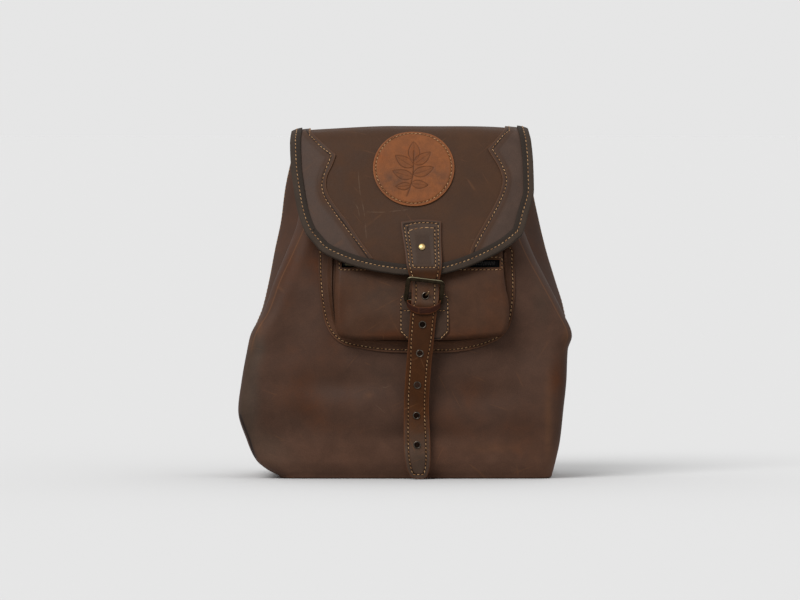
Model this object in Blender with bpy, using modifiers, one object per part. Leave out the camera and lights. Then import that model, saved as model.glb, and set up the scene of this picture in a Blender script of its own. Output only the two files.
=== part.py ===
"""Leather rucksack standing on its base, with a flap, a bellows pocket and a buckled closing strap.

World axes: +X to the right in front view, -Y towards the front, +Z up.
The origin is on the underside of the base. Tables and named sizes are in millimetres.
"""

import math

import bmesh
import bpy
import numpy as np
from mathutils import Vector

MM = 0.001
GAP = 0.3

# Leather and tape thicknesses
BODY_THICK = 2.2
PANEL_THICK = 2.5
FLAP_THICK = 1.8
WING_THICK = 1.2
PATCH_THICK = 1.6
POCKET_THICK = 1.8
STRAP_THICK = 2.4
KEEPER_THICK = 1.5
SHOULDER_THICK = 3.0
BINDING_THICK = 0.9
BINDING_WIDTH = 9.6

# Main box of the bag
BACK_Y = 66.0
WALL_BACK_Y = BACK_Y - 0.9
MOUTH_Z = 353.0
PANEL_TOP_Z = 348.0
PANEL_SWELL = 4.0
WALL_FOOT_Z = PANEL_THICK + GAP

# Places on the front
PATCH_X = 9.0
PATCH_Z = 339.7
PATCH_RADIUS = 44.5
RIVET_X = 17.9
RIVET_Z = 254.0
RIVET_RADIUS = 3.7
BUCKLE_X = 20.5
BUCKLE_TOP_Z = 218.0
BUCKLE_LOW_Z = 193.5
BUCKLE_TOP_Y = -109.2
BUCKLE_LOW_Y = -100.4
BUCKLE_WIDTH = 38.0
BUCKLE_WIRE = 2.1
BUCKLE_TURN = math.radians(7.0)
KEEPER_X = 20.0
KEEPER_Z = 182.8
KEEPER_HEIGHT = 9.5
KEEPER_WIDTH = 37.0
KEEPER_BACK_Y = -100.7
KEEPER_FRONT_Y = -108.7
CHAPE_X = 20.1
EYELET_HOLE = 2.75
EYELET_BARREL = 3.05
EYELET_FLANGE = 4.3
EYELET_RIM = 0.8
EYELET_CUT = 3.35
PRONG_RADIUS = 1.1

# Pocket
POCKET_X = 17.5
POCKET_Z = 197.0
POCKET_HALF_WIDTH = 91.0
POCKET_HALF_HEIGHT = 46.0
POCKET_SQUARENESS = 7.0
POCKET_FOOT_WIDTH = 106.0
POCKET_FOOT_HEIGHT = 59.0
POCKET_FOOT_Z = 199.0
POCKET_SEAM_WIDTH = 8.0
SEAM_ROOM = 0.9
ZIP_LOW_Z = 231.5
ZIP_HIGH_Z = 242.0
ZIP_TAPE_THICK = 0.8
ZIP_CHAIN_RADIUS = 1.3

# Carrying straps behind
ANCHOR_LOW_Z = 258.0
ANCHOR_HIGH_Z = 308.0
ANCHOR_HALF_WIDTH = 46.0
SHOULDER_WIDTH = 38.0
SHOULDER_TOP_X = 22.0
SHOULDER_TOP_Z = 303.0
SHOULDER_LEAN = math.radians(23.4)
TAB_HALF_WIDTH = 24.0
TAB_LOW_Z = 30.0
TAB_HIGH_Z = 70.0
TAB_X = 130.0

LEATHER_DARK = ("Waxed brown leather", (0.075, 0.040, 0.027), 0.52, 0.0)
LEATHER_TAN = ("Tan patch leather", (0.195, 0.073, 0.032), 0.50, 0.0)
LEATHER_BLACK = ("Chape leather", (0.050, 0.030, 0.020), 0.55, 0.0)
LEATHER_RUST = ("Keeper leather", (0.110, 0.042, 0.018), 0.45, 0.0)
TAPE_DARK = ("Binding tape", (0.060, 0.043, 0.035), 0.75, 0.0)
ZIP_BLACK = ("Zip tape and chain", (0.014, 0.013, 0.013), 0.60, 0.0)
BRASS_DARK = ("Antique brass", (0.130, 0.110, 0.060), 0.38, 1.0)
BRASS_BRIGHT = ("Rivet brass", (0.610, 0.430, 0.150), 0.30, 1.0)


def monotone_slopes(key, value):
    """Slopes for a smooth curve through the points that never overshoots between them."""
    step = np.diff(key)
    rise = np.diff(value) / step
    slope = np.empty(len(key))
    slope[0] = rise[0]
    slope[-1] = rise[-1]
    for i in range(1, len(key) - 1):
        if rise[i - 1] * rise[i] <= 0.0:
            slope[i] = 0.0
            continue
        before = 2.0 * step[i] + step[i - 1]
        after = step[i] + 2.0 * step[i - 1]
        slope[i] = (before + after) / (before / rise[i - 1] + after / rise[i])
    return slope


class Table:
    """Rows of named columns, read between its rows along a smooth curve. The first column is the key."""

    def __init__(self, columns, rows):
        data = np.array(rows, dtype=float)
        self.key = data[:, 0]
        self.values = {name: data[:, i] for i, name in enumerate(columns)}
        self.slopes = {name: monotone_slopes(self.key, column) for name, column in self.values.items()}

    def read(self, name, at):
        at = min(max(at, self.key[0]), self.key[-1])
        i = int(np.searchsorted(self.key, at, side="right")) - 1
        i = min(max(i, 0), len(self.key) - 2)
        step = self.key[i + 1] - self.key[i]
        f = (at - self.key[i]) / step
        value = self.values[name]
        slope = self.slopes[name]
        start = (1.0 + 2.0 * f) * (1.0 - f) ** 2 * value[i] + f * (1.0 - f) ** 2 * step * slope[i]
        end = f * f * (3.0 - 2.0 * f) * value[i + 1] - f * f * (1.0 - f) * step * slope[i + 1]
        return float(start + end)


# Level sections of the body: the corners in plan, the front face and how far each gusset folds in
BODY = Table(
    ("z", "back_left", "front_left", "front_right", "back_right", "front_y", "bulge", "fold"),
    (
        (0.0, -128.0, -134.0, 161.0, 155.0, -64.0, 1.0, 0.0),
        (9.0, -146.0, -152.0, 163.0, 158.0, -70.0, 2.5, 0.0),
        (20.0, -159.0, -164.5, 165.6, 161.0, -75.0, 4.0, 0.0),
        (42.0, -170.0, -174.5, 170.0, 166.0, -80.0, 5.0, 0.0),
        (75.0, -179.0, -184.0, 173.5, 170.0, -82.0, 5.0, 0.0),
        (108.0, -176.0, -180.0, 177.0, 173.0, -80.0, 5.0, 2.0),
        (141.0, -171.0, -174.0, 178.5, 175.0, -76.5, 4.5, 5.0),
        (156.0, -169.0, -170.5, 183.0, 180.0, -75.0, 4.5, 7.0),
        (185.0, -158.5, -154.0, 170.0, 175.5, -72.0, 4.0, 11.0),
        (215.0, -151.5, -143.0, 153.5, 166.5, -68.0, 4.0, 15.0),
        (251.0, -144.7, -126.0, 134.0, 155.7, -62.0, 4.0, 19.0),
        (280.0, -138.5, -114.0, 123.0, 148.8, -57.0, 4.0, 21.0),
        (317.0, -133.7, -108.0, 119.0, 141.0, -50.0, 4.0, 23.0),
        (353.0, -126.0, -105.0, 116.0, 135.0, -42.0, 4.0, 24.0),
    ),
)

# Dents of the body's front: where, how wide, and how deep
DENT_COLUMNS = ("x", "z", "spread_x", "spread_z", "depth")
DENTS = (
    (-70.0, 104.0, 55.0, 15.0, 4.5),
    (80.0, 92.0, 48.0, 17.0, 4.0),
    (-132.0, 52.0, 26.0, 30.0, 5.5),
    (130.0, 140.0, 26.0, 34.0, 4.5),
    (-128.0, 150.0, 22.0, 40.0, 4.5),
    (20.0, 46.0, 60.0, 12.0, 2.5),
    (-100.0, 262.0, 18.0, 34.0, 4.0),
    (108.0, 290.0, 16.0, 36.0, 4.0),
)

# Flap in side view, from its lower front edge over the top and down the back
FLAP_PROFILE_COLUMNS = ("y", "z")
FLAP_PROFILE = (
    (-101.6, 213.0),
    (-100.0, 223.0),
    (-96.4, 240.0),
    (-91.4, 257.0),
    (-84.0, 277.0),
    (-76.0, 298.0),
    (-60.0, 340.0),
    (-49.5, 364.0),
    (-41.5, 376.0),
    (-29.0, 383.6),
    (-8.0, 386.3),
    (16.0, 386.0),
    (41.0, 383.0),
    (59.0, 375.5),
    (68.8, 362.5),
    (71.4, 347.0),
    (71.6, 330.0),
    (72.3, 312.0),
)

# Side edges of the flap in front view, as the binding's outer edge
FLAP_SIDES = Table(
    ("z", "left", "right"),
    (
        (222.0, 5.0, 25.0),
        (226.6, -25.9, 46.0),
        (232.1, -51.5, 65.5),
        (240.2, -74.3, 85.7),
        (249.7, -91.9, 103.5),
        (257.4, -98.8, 116.5),
        (267.0, -107.0, 126.4),
        (290.0, -116.5, 133.6),
        (318.0, -121.9, 140.2),
        (345.8, -125.3, 139.6),
        (373.0, -126.0, 137.2),
        (386.5, -124.5, 134.0),
    ),
)

# Lower edge of the flap in front view, as the binding's outer edge
FLAP_BOTTOM = Table(
    ("x", "z"),
    (
        (-107.0, 267.0),
        (-98.8, 257.4),
        (-91.9, 249.7),
        (-74.3, 240.2),
        (-51.5, 232.1),
        (-25.9, 226.6),
        (0.0, 223.6),
        (20.0, 222.8),
        (38.8, 224.6),
        (61.5, 230.4),
        (85.7, 240.2),
        (109.9, 253.4),
        (126.4, 267.0),
    ),
)

# Inner edges of the two overlays on the flap
WINGS = Table(
    ("z", "left", "right"),
    (
        (240.0, -39.0, 73.0),
        (245.0, -41.0, 72.0),
        (257.0, -47.8, 74.8),
        (286.0, -69.3, 89.5),
        (306.0, -83.0, 101.7),
        (320.0, -87.4, 107.6),
        (333.0, -85.6, 106.2),
        (355.0, -76.0, 91.0),
        (366.0, -88.0, 102.0),
        (381.0, -105.6, 113.5),
        (386.5, -106.0, 114.0),
    ),
)

# Face of the pocket in side view
POCKET_FACE = Table(
    ("z", "y"),
    (
        (139.0, -100.0),
        (151.0, -100.0),
        (175.0, -98.3),
        (193.0, -95.4),
        (215.0, -91.6),
        (230.0, -87.5),
        (243.0, -83.0),
        (258.0, -78.0),
    ),
)

# Closing strap from its tip to the top of its tab: outer face, centre line and half width
STRAP = Table(
    ("z", "x", "y", "half_width"),
    (
        (0.8, 14.6, -88.0, 4.0),
        (2.2, 14.5, -88.1, 8.0),
        (6.0, 14.2, -88.4, 11.5),
        (13.0, 13.8, -89.2, 14.0),
        (40.0, 12.6, -93.0, 14.4),
        (80.0, 11.9, -99.0, 13.6),
        (120.0, 14.0, -104.6, 13.6),
        (151.0, 16.8, -106.6, 13.9),
        (184.0, 19.8, -106.6, 14.3),
        (194.0, 21.0, -105.8, 14.6),
        (201.0, 21.6, -104.9, 14.8),
        (210.0, 21.8, -105.0, 15.0),
        (217.0, 21.6, -105.8, 15.2),
        (222.0, 21.2, -106.6, 16.6),
        (228.0, 20.8, -106.6, 18.0),
        (236.0, 20.4, -105.2, 19.4),
        (247.0, 19.6, -99.2, 19.8),
        (262.0, 18.6, -92.8, 20.4),
        (279.0, 17.6, -86.5, 21.4),
        (282.0, 17.5, -85.4, 20.4),
        (284.5, 17.5, -84.4, 16.0),
    ),
)
STRAP_ROWS = Table(
    ("row", "z"),
    (
        (0.0, 0.8),
        (0.03, 2.2),
        (0.06, 6.0),
        (0.09, 13.0),
        (0.70, 210.0),
        (0.95, 279.0),
        (0.975, 282.0),
        (1.0, 284.5),
    ),
)
EYELETS_Z = (201.0, 169.8, 138.5, 103.8, 70.5, 38.3)

# Eight-sided chape patch: half width against height, straight between its corners
CHAPE_CORNER_Z = (154.0, 163.0, 197.0, 203.5)
CHAPE_CORNER_HALF = (18.0, 26.4, 26.4, 21.0)

# Carrying strap in its own plane: distance down its lean, and how far it stands off the back
SHOULDER = Table(
    ("step", "down", "out"),
    (
        (0.0, 0.0, 6.8),
        (0.075, 30.0, 7.6),
        (0.165, 62.0, 27.0),
        (0.31, 108.0, 62.0),
        (0.455, 160.0, 90.0),
        (0.59, 212.0, 104.0),
        (0.70, 258.0, 98.0),
        (0.81, 291.0, 68.0),
        (0.89, 302.0, 36.0),
        (0.955, 292.0, 11.0),
        (1.0, 274.0, 5.6),
    ),
)


def lerp(start, end, fraction):
    return start + (end - start) * fraction


def skin(recipe):
    name, colour, roughness, metallic = recipe
    material = bpy.data.materials.get(name)
    if material is None:
        material = bpy.data.materials.new(name)
        material.use_nodes = True
        shader = material.node_tree.nodes["Principled BSDF"]
        shader.inputs["Base Color"].default_value = (*colour, 1.0)
        shader.inputs["Roughness"].default_value = roughness
        shader.inputs["Metallic"].default_value = metallic
        material.diffuse_color = (*colour, 1.0)
    return material


def collection(name):
    group = bpy.data.collections.get(name)
    if group is None:
        group = bpy.data.collections.new(name)
        bpy.context.scene.collection.children.link(group)
    return group


def add_piece(name, data, recipe):
    piece = bpy.data.objects.new(name, data)
    collection("leather_rucksack").objects.link(piece)
    data.materials.append(skin(recipe))
    return piece


def add_cutter(piece):
    for group in list(piece.users_collection):
        group.objects.unlink(piece)
    collection("cutters").objects.link(piece)
    piece.hide_render = True
    piece.display_type = "WIRE"


def sheet(name, columns, rows, place, thickness, side, recipe, weld=False):
    """A grid laid on a surface by place(across, along), then thickened to one side of it."""
    work = bmesh.new()
    bmesh.ops.create_grid(work, x_segments=columns, y_segments=rows, size=0.5)
    for vertex in work.verts:
        vertex.co = Vector(place(vertex.co.x + 0.5, vertex.co.y + 0.5)) * MM
    if weld:
        bmesh.ops.remove_doubles(work, verts=work.verts, dist=0.00001)
    mesh = bpy.data.meshes.new(name)
    work.to_mesh(mesh)
    work.free()
    mesh.shade_smooth()
    piece = add_piece(name, mesh, recipe)
    leather = piece.modifiers.new("Thickness", "SOLIDIFY")
    leather.thickness = thickness * MM
    leather.offset = side
    return piece


def squared_round(angle, squareness):
    """Point on a unit superellipse, a soft-cornered square."""
    power = 2.0 / squareness
    c = math.cos(angle)
    s = math.sin(angle)
    return math.copysign(abs(c) ** power, c), math.copysign(abs(s) ** power, s)


# Body

CORNER_START = 0.20
CORNER_END = 0.30
CORNER_RADIUS = 22.0


def dent(x, z):
    total = 0.0
    for row in DENTS:
        entry = dict(zip(DENT_COLUMNS, row))
        far = ((x - entry["x"]) / entry["spread_x"]) ** 2 + ((z - entry["z"]) / entry["spread_z"]) ** 2
        total += entry["depth"] * math.exp(-far)
    return total


def body_front(x, z):
    """The y of the body's outer front face."""
    left = BODY.read("front_left", z)
    right = BODY.read("front_right", z)
    across = 2.0 * (x - left) / (right - left) - 1.0
    crown = BODY.read("bulge", z) * max(0.0, 1.0 - across * across)
    return BODY.read("front_y", z) - crown + dent(x, z) * max(0.0, 1.0 - across ** 6)


def wall_point(across, z):
    """Outer point of the wall, from the back left edge round the front to the back right edge."""
    mirrored = across > 0.5
    run = 1.0 - across if mirrored else across
    side = "right" if mirrored else "left"
    back = Vector((BODY.read("back_" + side, z), WALL_BACK_Y))
    corner = Vector((BODY.read("front_" + side, z), BODY.read("front_y", z)))
    middle = 0.5 * (BODY.read("front_left", z) + BODY.read("front_right", z))
    inward = 1.0 if corner.x < middle else -1.0
    before = corner + (back - corner).normalized() * CORNER_RADIUS
    after = Vector((corner.x + inward * CORNER_RADIUS, corner.y))
    if run <= CORNER_START:
        f = run / CORNER_START
        point = back.lerp(before, f)
        point.x += inward * BODY.read("fold", z) * math.sin(math.pi * f) ** 2
        return point.x, point.y, z
    if run <= CORNER_END:
        f = (run - CORNER_START) / (CORNER_END - CORNER_START)
        point = before.lerp(corner, f).lerp(corner.lerp(after, f), f)
        return point.x, point.y + (body_front(point.x, z) - corner.y) * f * f, z
    f = (run - CORNER_END) / (0.5 - CORNER_END)
    x = lerp(after.x, middle, f)
    return x, body_front(x, z), z


def body_place(across, up):
    z = lerp(WALL_FOOT_Z, MOUTH_Z, 0.55 * up + 0.45 * up * up)
    return wall_point(across, z)


def panel_back(x, z):
    """The y of the back panel's outer face."""
    round_across = max(0.0, 1.0 - (x / 150.0) ** 2)
    swell = PANEL_SWELL * round_across * math.sin(math.pi * min(1.0, z / PANEL_TOP_Z))
    return BACK_Y + GAP + PANEL_THICK + swell


def make_body():
    sheet("body_shell", 34, 20, body_place, BODY_THICK, -1.0, LEATHER_DARK)

    def back_place(across, up):
        z = lerp(0.4, PANEL_TOP_Z, up)
        x = lerp(BODY.read("back_right", z), BODY.read("back_left", z), across)
        return x, panel_back(x, z), z

    sheet("back_panel", 8, 12, back_place, PANEL_THICK, -1.0, LEATHER_DARK)

    def base_place(across, front):
        left = Vector(wall_point(CORNER_END * front, 0.0))
        right = Vector(wall_point(1.0 - CORNER_END * front, 0.0))
        point = left.lerp(right, across)
        return point.x, point.y, 0.0

    sheet("base_panel", 6, 10, base_place, PANEL_THICK, -1.0, LEATHER_DARK)


# Flap

def spaced_profile(points, count):
    """Evenly spaced points on a smooth curve through the profile, with their distances."""
    points = np.array(points, dtype=float)
    chord = np.concatenate(([0.0], np.cumsum(np.hypot(*np.diff(points, axis=0).T))))
    curve = Table(("run", *FLAP_PROFILE_COLUMNS), np.column_stack((chord, points)))
    fine = np.linspace(0.0, chord[-1], 8 * count)
    ys = np.array([curve.read("y", at) for at in fine])
    zs = np.array([curve.read("z", at) for at in fine])
    run = np.concatenate(([0.0], np.cumsum(np.hypot(np.diff(ys), np.diff(zs)))))
    even = np.linspace(0.0, run[-1], count)
    return even, np.interp(even, run, ys), np.interp(even, run, zs)


FLAP_RUN, FLAP_Y, FLAP_Z = spaced_profile(FLAP_PROFILE, 160)
FLAP_TOP = int(np.argmax(FLAP_Z))
FLAP_TOP_RUN = float(FLAP_RUN[FLAP_TOP])
FLAP_LENGTH = float(FLAP_RUN[-1])
FLAP_MIDDLE_X = 6.0
FLAP_HALF_WIDTH = 132.0
FLAP_EDGE_DROP = 5.0


def flap_run_at(z):
    """Distance up the flap's front at which it reaches a height."""
    return float(np.interp(z, FLAP_Z[: FLAP_TOP + 1], FLAP_RUN[: FLAP_TOP + 1]))


def flap_profile(run):
    return float(np.interp(run, FLAP_RUN, FLAP_Y)), float(np.interp(run, FLAP_RUN, FLAP_Z))


def flap_surface(x, run):
    """Point of the flap's outer face, whose side edges fall in a little."""
    y, z = flap_profile(run)
    y_down, z_down = flap_profile(run - 4.0)
    y_up, z_up = flap_profile(run + 4.0)
    along = Vector((0.0, y_up - y_down, z_up - z_down)).normalized()
    outward = Vector((1.0, 0.0, 0.0)).cross(along)
    fade = min(1.0, max(0.0, (FLAP_LENGTH - 45.0 - run) / 50.0))
    drop = FLAP_EDGE_DROP * fade * abs((x - FLAP_MIDDLE_X) / FLAP_HALF_WIDTH) ** 4
    return Vector((x, y, z)) - outward * drop


def flap_point(x, run, lift):
    """Point at a height over the flap's outer face."""
    step = 3.0
    run = min(max(run, step), FLAP_LENGTH - step) if lift else run
    across = flap_surface(x + step, run) - flap_surface(x - step, run)
    along = flap_surface(x, run + step) - flap_surface(x, run - step)
    return flap_surface(x, run) + across.cross(along).normalized() * lift


def flap_side(side, run):
    """The x of the flap's outer side edge at a distance up the flap."""
    height = flap_profile(run)[1] if run < FLAP_TOP_RUN else FLAP_Z[FLAP_TOP]
    back = max(0.0, (run - FLAP_TOP_RUN) / (FLAP_LENGTH - FLAP_TOP_RUN))
    x = FLAP_SIDES.read(side, height)
    return x + (2.0 if side == "right" else -2.0) * back


FLAP_INSET = 1.3
FLAP_CORNER_Z = 267.0
FLAP_LOWEST_Z = 222.8
FLAP_LEVEL_RUN = 130.0

# Rows of the flap, closer together where it turns over the top
FLAP_SPACING = Table(("row", "up"), ((0.0, 0.0), (0.38, 0.44), (0.88, 0.86), (1.0, 1.0)))


def flap_grid(across, row):
    """Place on the flap's leaf: x, and the distance up from the profile's lower end."""
    up = FLAP_SPACING.read("up", row)
    left_corner = FLAP_BOTTOM.key[0]
    right_corner = FLAP_BOTTOM.key[-1]
    low_x = lerp(left_corner, right_corner, across)
    first_run = flap_run_at(FLAP_LOWEST_Z + FLAP_INSET)
    low_run = flap_run_at(FLAP_BOTTOM.read("z", low_x) + FLAP_INSET)
    corner_run = flap_run_at(FLAP_CORNER_Z + FLAP_INSET)
    level_run = lerp(first_run, FLAP_LENGTH, up)
    bend = max(0.0, 1.0 - (level_run - first_run) / FLAP_LEVEL_RUN) ** 2
    run = level_run + (low_run - first_run) * bend
    edge_run = level_run + (corner_run - first_run) * bend
    left = flap_side("left", edge_run) + FLAP_INSET
    right = flap_side("right", edge_run) - FLAP_INSET
    return lerp(left, right, across), run


FLAP_COLUMNS = 16
FLAP_ROWS = 30
BINDING_LAST_ROW = 26
WING_LIFT = GAP + 0.15
PATCH_LIFT = GAP + 0.35
BINDING_ROOM = 0.5


def make_flap():
    def leaf(across, up):
        x, run = flap_grid(across, up)
        return flap_surface(x, run)

    sheet("flap", FLAP_COLUMNS, FLAP_ROWS, leaf, FLAP_THICK, -1.0, LEATHER_DARK)


WING_FOOT_Z = {"left": 241.0, "right": 243.5}
WING_TAIL = 22.0
WING_INSET = 4.5
WING_LEAST_WIDTH = 4.0
WING_SPACING = Table(("row", "up"), ((0.0, 0.0), (0.5, 0.52), (0.94, 0.93), (1.0, 1.0)))


def make_wing(side, sign):
    start_run = flap_run_at(WING_FOOT_Z[side])
    end_run = FLAP_LENGTH - WING_TAIL

    def wing(across, row):
        run = lerp(start_run, end_run, WING_SPACING.read("up", row))
        height = flap_profile(run)[1] if run < FLAP_TOP_RUN else FLAP_Z[FLAP_TOP]
        outer = FLAP_SIDES.read(side, height - WING_INSET) - sign * WING_INSET
        inner = WINGS.read(side, height)
        if sign * (outer - inner) < WING_LEAST_WIDTH:
            outer = inner + sign * WING_LEAST_WIDTH
        x = lerp(outer, inner, across) if sign < 0 else lerp(inner, outer, across)
        return flap_point(x, run, WING_LIFT)

    sheet("flap_wing_" + side, 4, 30, wing, WING_THICK, 1.0, LEATHER_DARK)


def binding_route():
    """Stations round the flap's edge, down the left, along the bottom and up the right."""
    down = [flap_grid(0.0, i / FLAP_ROWS) for i in range(BINDING_LAST_ROW, 0, -1)]
    along = [flap_grid(i / FLAP_COLUMNS, 0.0) for i in range(FLAP_COLUMNS + 1)]
    up = [flap_grid(1.0, i / FLAP_ROWS) for i in range(1, BINDING_LAST_ROW + 1)]
    return [Vector(station) for station in down + along + up]


def make_binding():
    route = binding_route()
    top = WING_LIFT + WING_THICK + 2.0 * BINDING_ROOM
    under = -FLAP_THICK - BINDING_ROOM
    section = (
        (BINDING_WIDTH, top),
        (BINDING_WIDTH, top + BINDING_THICK),
        (-BINDING_ROOM - BINDING_THICK, top + BINDING_THICK),
        (-BINDING_ROOM - BINDING_THICK, under - BINDING_THICK),
        (BINDING_WIDTH, under - BINDING_THICK),
        (BINDING_WIDTH, under),
        (-BINDING_ROOM, under),
        (-BINDING_ROOM, top),
    )
    work = bmesh.new()
    rings = []
    for i, station in enumerate(route):
        before = route[max(i - 1, 0)]
        after = route[min(i + 1, len(route) - 1)]
        ahead = (after - before).normalized()
        inward = Vector((-ahead.y, ahead.x))
        ring = []
        for depth, lift in section:
            place = station + inward * depth
            ring.append(work.verts.new(flap_point(place.x, place.y, lift) * MM))
        rings.append(ring)
    for first, second in zip(rings, rings[1:]):
        for k in range(len(section)):
            j = (k + 1) % len(section)
            work.faces.new((first[k], second[k], second[j], first[j]))
    work.faces.new(rings[0])
    work.faces.new(list(reversed(rings[-1])))
    bmesh.ops.triangulate(work, faces=[face for face in work.faces if len(face.verts) > 4])
    bmesh.ops.recalc_face_normals(work, faces=work.faces)
    mesh = bpy.data.meshes.new("flap_binding")
    work.to_mesh(mesh)
    work.free()
    add_piece("flap_binding", mesh, TAPE_DARK)


def make_patch():
    centre_run = flap_run_at(PATCH_Z)

    def disc(across, out):
        angle = 2.0 * math.pi * across
        radius = PATCH_RADIUS * (1.0 - out)
        return flap_point(PATCH_X + radius * math.cos(angle), centre_run + radius * math.sin(angle), PATCH_LIFT)

    sheet("round_patch", 28, 4, disc, PATCH_THICK, 1.0, LEATHER_TAN, weld=True)


# Pocket

def pocket_face(z):
    return POCKET_FACE.read("y", z)


def make_pocket():
    def face(across, up):
        low = POCKET_Z - POCKET_HALF_HEIGHT + 0.2
        z = lerp(low, ZIP_LOW_Z, up ** 1.4)
        level = min(1.0, abs(z - POCKET_Z) / POCKET_HALF_HEIGHT)
        half = POCKET_HALF_WIDTH * (1.0 - level ** POCKET_SQUARENESS) ** (1.0 / POCKET_SQUARENESS)
        return POCKET_X + half * (2.0 * across - 1.0), pocket_face(z), z

    sheet("pocket_front", 12, 10, face, POCKET_THICK, -1.0, LEATHER_DARK)

    def gusset(round_way, back):
        cx, cz = squared_round(-2.0 * math.pi * round_way - 0.5 * math.pi, POCKET_SQUARENESS)
        front = Vector((POCKET_X + POCKET_HALF_WIDTH * cx, 0.0, POCKET_Z + POCKET_HALF_HEIGHT * cz))
        foot_x = POCKET_X - 6.0 + (POCKET_FOOT_WIDTH - POCKET_SEAM_WIDTH) * cx
        foot_z = POCKET_FOOT_Z + (POCKET_FOOT_HEIGHT - POCKET_SEAM_WIDTH) * cz
        front.y = pocket_face(front.z) + POCKET_THICK + 2.0 * GAP
        if back < 0.4:
            return front
        if back < 0.7:
            return foot_x, body_front(foot_x, foot_z) - SEAM_ROOM, foot_z
        seam_x = POCKET_X - 6.0 + POCKET_FOOT_WIDTH * cx
        seam_z = POCKET_FOOT_Z + POCKET_FOOT_HEIGHT * cz
        return seam_x, body_front(seam_x, seam_z) - SEAM_ROOM, seam_z

    sheet("pocket_gusset", 40, 2, gusset, POCKET_THICK, 1.0, LEATHER_DARK, weld=True)


def make_zip():
    left = POCKET_X - POCKET_HALF_WIDTH + 2.0
    right = POCKET_X + POCKET_HALF_WIDTH - 4.0

    def tape(across, up):
        z = lerp(ZIP_LOW_Z + 2.0 * GAP, ZIP_HIGH_Z, up)
        return lerp(left, right, across), pocket_face(z), z

    sheet("zip_tape", 6, 2, tape, ZIP_TAPE_THICK, -1.0, ZIP_BLACK)
    zip_z = 0.5 * (ZIP_LOW_Z + ZIP_HIGH_Z)
    chain_y = pocket_face(zip_z) - 2.0 * GAP - ZIP_CHAIN_RADIUS
    wire("zip_chain", ((left + 4.0, chain_y, zip_z), (right - 4.0, chain_y, zip_z)), ZIP_CHAIN_RADIUS, ZIP_BLACK)
    bar = bmesh.new()
    bmesh.ops.create_cube(bar, size=1.0)
    mesh = bpy.data.meshes.new("zip_slider")
    for vertex in bar.verts:
        vertex.co = Vector((vertex.co.x * 11.0, vertex.co.y * 1.8, vertex.co.z * 6.5)) * MM
    bar.to_mesh(mesh)
    bar.free()
    slider = add_piece("zip_slider", mesh, BRASS_DARK)
    slider.location = Vector((-61.0, chain_y - ZIP_CHAIN_RADIUS - GAP - 0.9, zip_z)) * MM
    edge = slider.modifiers.new("Rounded edges", "BEVEL")
    edge.width = 0.0006
    edge.segments = 2


def wire(name, points, radius, recipe, cyclic=False, resolution=2):
    curve = bpy.data.curves.new(name, "CURVE")
    curve.dimensions = "3D"
    curve.bevel_depth = radius * MM
    curve.bevel_resolution = resolution
    curve.use_fill_caps = True
    spline = curve.splines.new("POLY")
    spline.points.add(len(points) - 1)
    for slot, point in zip(spline.points, points):
        slot.co = (*(Vector(point) * MM), 1.0)
    spline.use_cyclic_u = cyclic
    return add_piece(name, curve, recipe)


# Closing strap and its metal

def strap_normal(z):
    """Outward direction of the strap's face."""
    rise = STRAP.read("y", z + 3.0) - STRAP.read("y", z - 3.0)
    return Vector((0.0, -6.0, rise)).normalized()


def place_on_strap(piece, x, z, lift):
    """Turn a piece made about +Z to stand on the strap's outer face."""
    out = strap_normal(z)
    piece.rotation_mode = "QUATERNION"
    piece.rotation_quaternion = Vector((0.0, 0.0, 1.0)).rotation_difference(out)
    piece.location = (Vector((x, STRAP.read("y", z), z)) + out * lift) * MM


def turned(name, profile, segments, recipe, closed):
    """A turned piece from a profile of radius and height, run top to bottom on its outer side."""
    mesh = bpy.data.meshes.new(name)
    points = [(radius * MM, 0.0, height * MM) for radius, height in profile]
    edges = [(i, i + 1) for i in range(len(points) - 1)]
    if closed:
        edges.append((len(points) - 1, 0))
    mesh.from_pydata(points, edges, [])
    piece = add_piece(name, mesh, recipe)
    screw = piece.modifiers.new("Turned", "SCREW")
    screw.steps = segments
    screw.render_steps = segments
    screw.use_merge_vertices = True
    screw.merge_threshold = 0.00005
    return piece


def make_strap():
    def face(across, up):
        z = STRAP_ROWS.read("z", up)
        half = STRAP.read("half_width", z)
        return STRAP.read("x", z) + half * (2.0 * across - 1.0), STRAP.read("y", z), z

    strap = sheet("closure_strap", 4, 48, face, STRAP_THICK, -1.0, LEATHER_DARK)
    cut = strap.modifiers.new("Eyelet holes", "BOOLEAN")
    cut.operand_type = "COLLECTION"
    cut.collection = collection("cutters")
    cut.operation = "DIFFERENCE"
    for number, z in enumerate(EYELETS_Z, start=1):
        x = STRAP.read("x", z)
        work = bmesh.new()
        bmesh.ops.create_cone(
            work,
            cap_ends=True,
            segments=14,
            radius1=EYELET_CUT * MM,
            radius2=EYELET_CUT * MM,
            depth=12.0 * MM,
        )
        mesh = bpy.data.meshes.new("hole_%d" % number)
        work.to_mesh(mesh)
        work.free()
        hole = bpy.data.objects.new("hole_%d" % number, mesh)
        add_cutter(hole)
        place_on_strap(hole, x, z, -0.5 * STRAP_THICK)
        make_eyelet(number, x, z)


def make_eyelet(number, x, z):
    top = 0.5 * STRAP_THICK + GAP
    profile = (
        (EYELET_FLANGE, top + EYELET_RIM),
        (EYELET_FLANGE, top),
        (EYELET_BARREL, top),
        (EYELET_BARREL, -top),
        (EYELET_FLANGE, -top),
        (EYELET_FLANGE, -top - EYELET_RIM),
        (EYELET_HOLE, -top - EYELET_RIM),
        (EYELET_HOLE, top + EYELET_RIM),
    )
    eyelet = turned("eyelet_%d" % number, profile, 12, BRASS_DARK, closed=True)
    place_on_strap(eyelet, x, z, -0.5 * STRAP_THICK)


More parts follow.
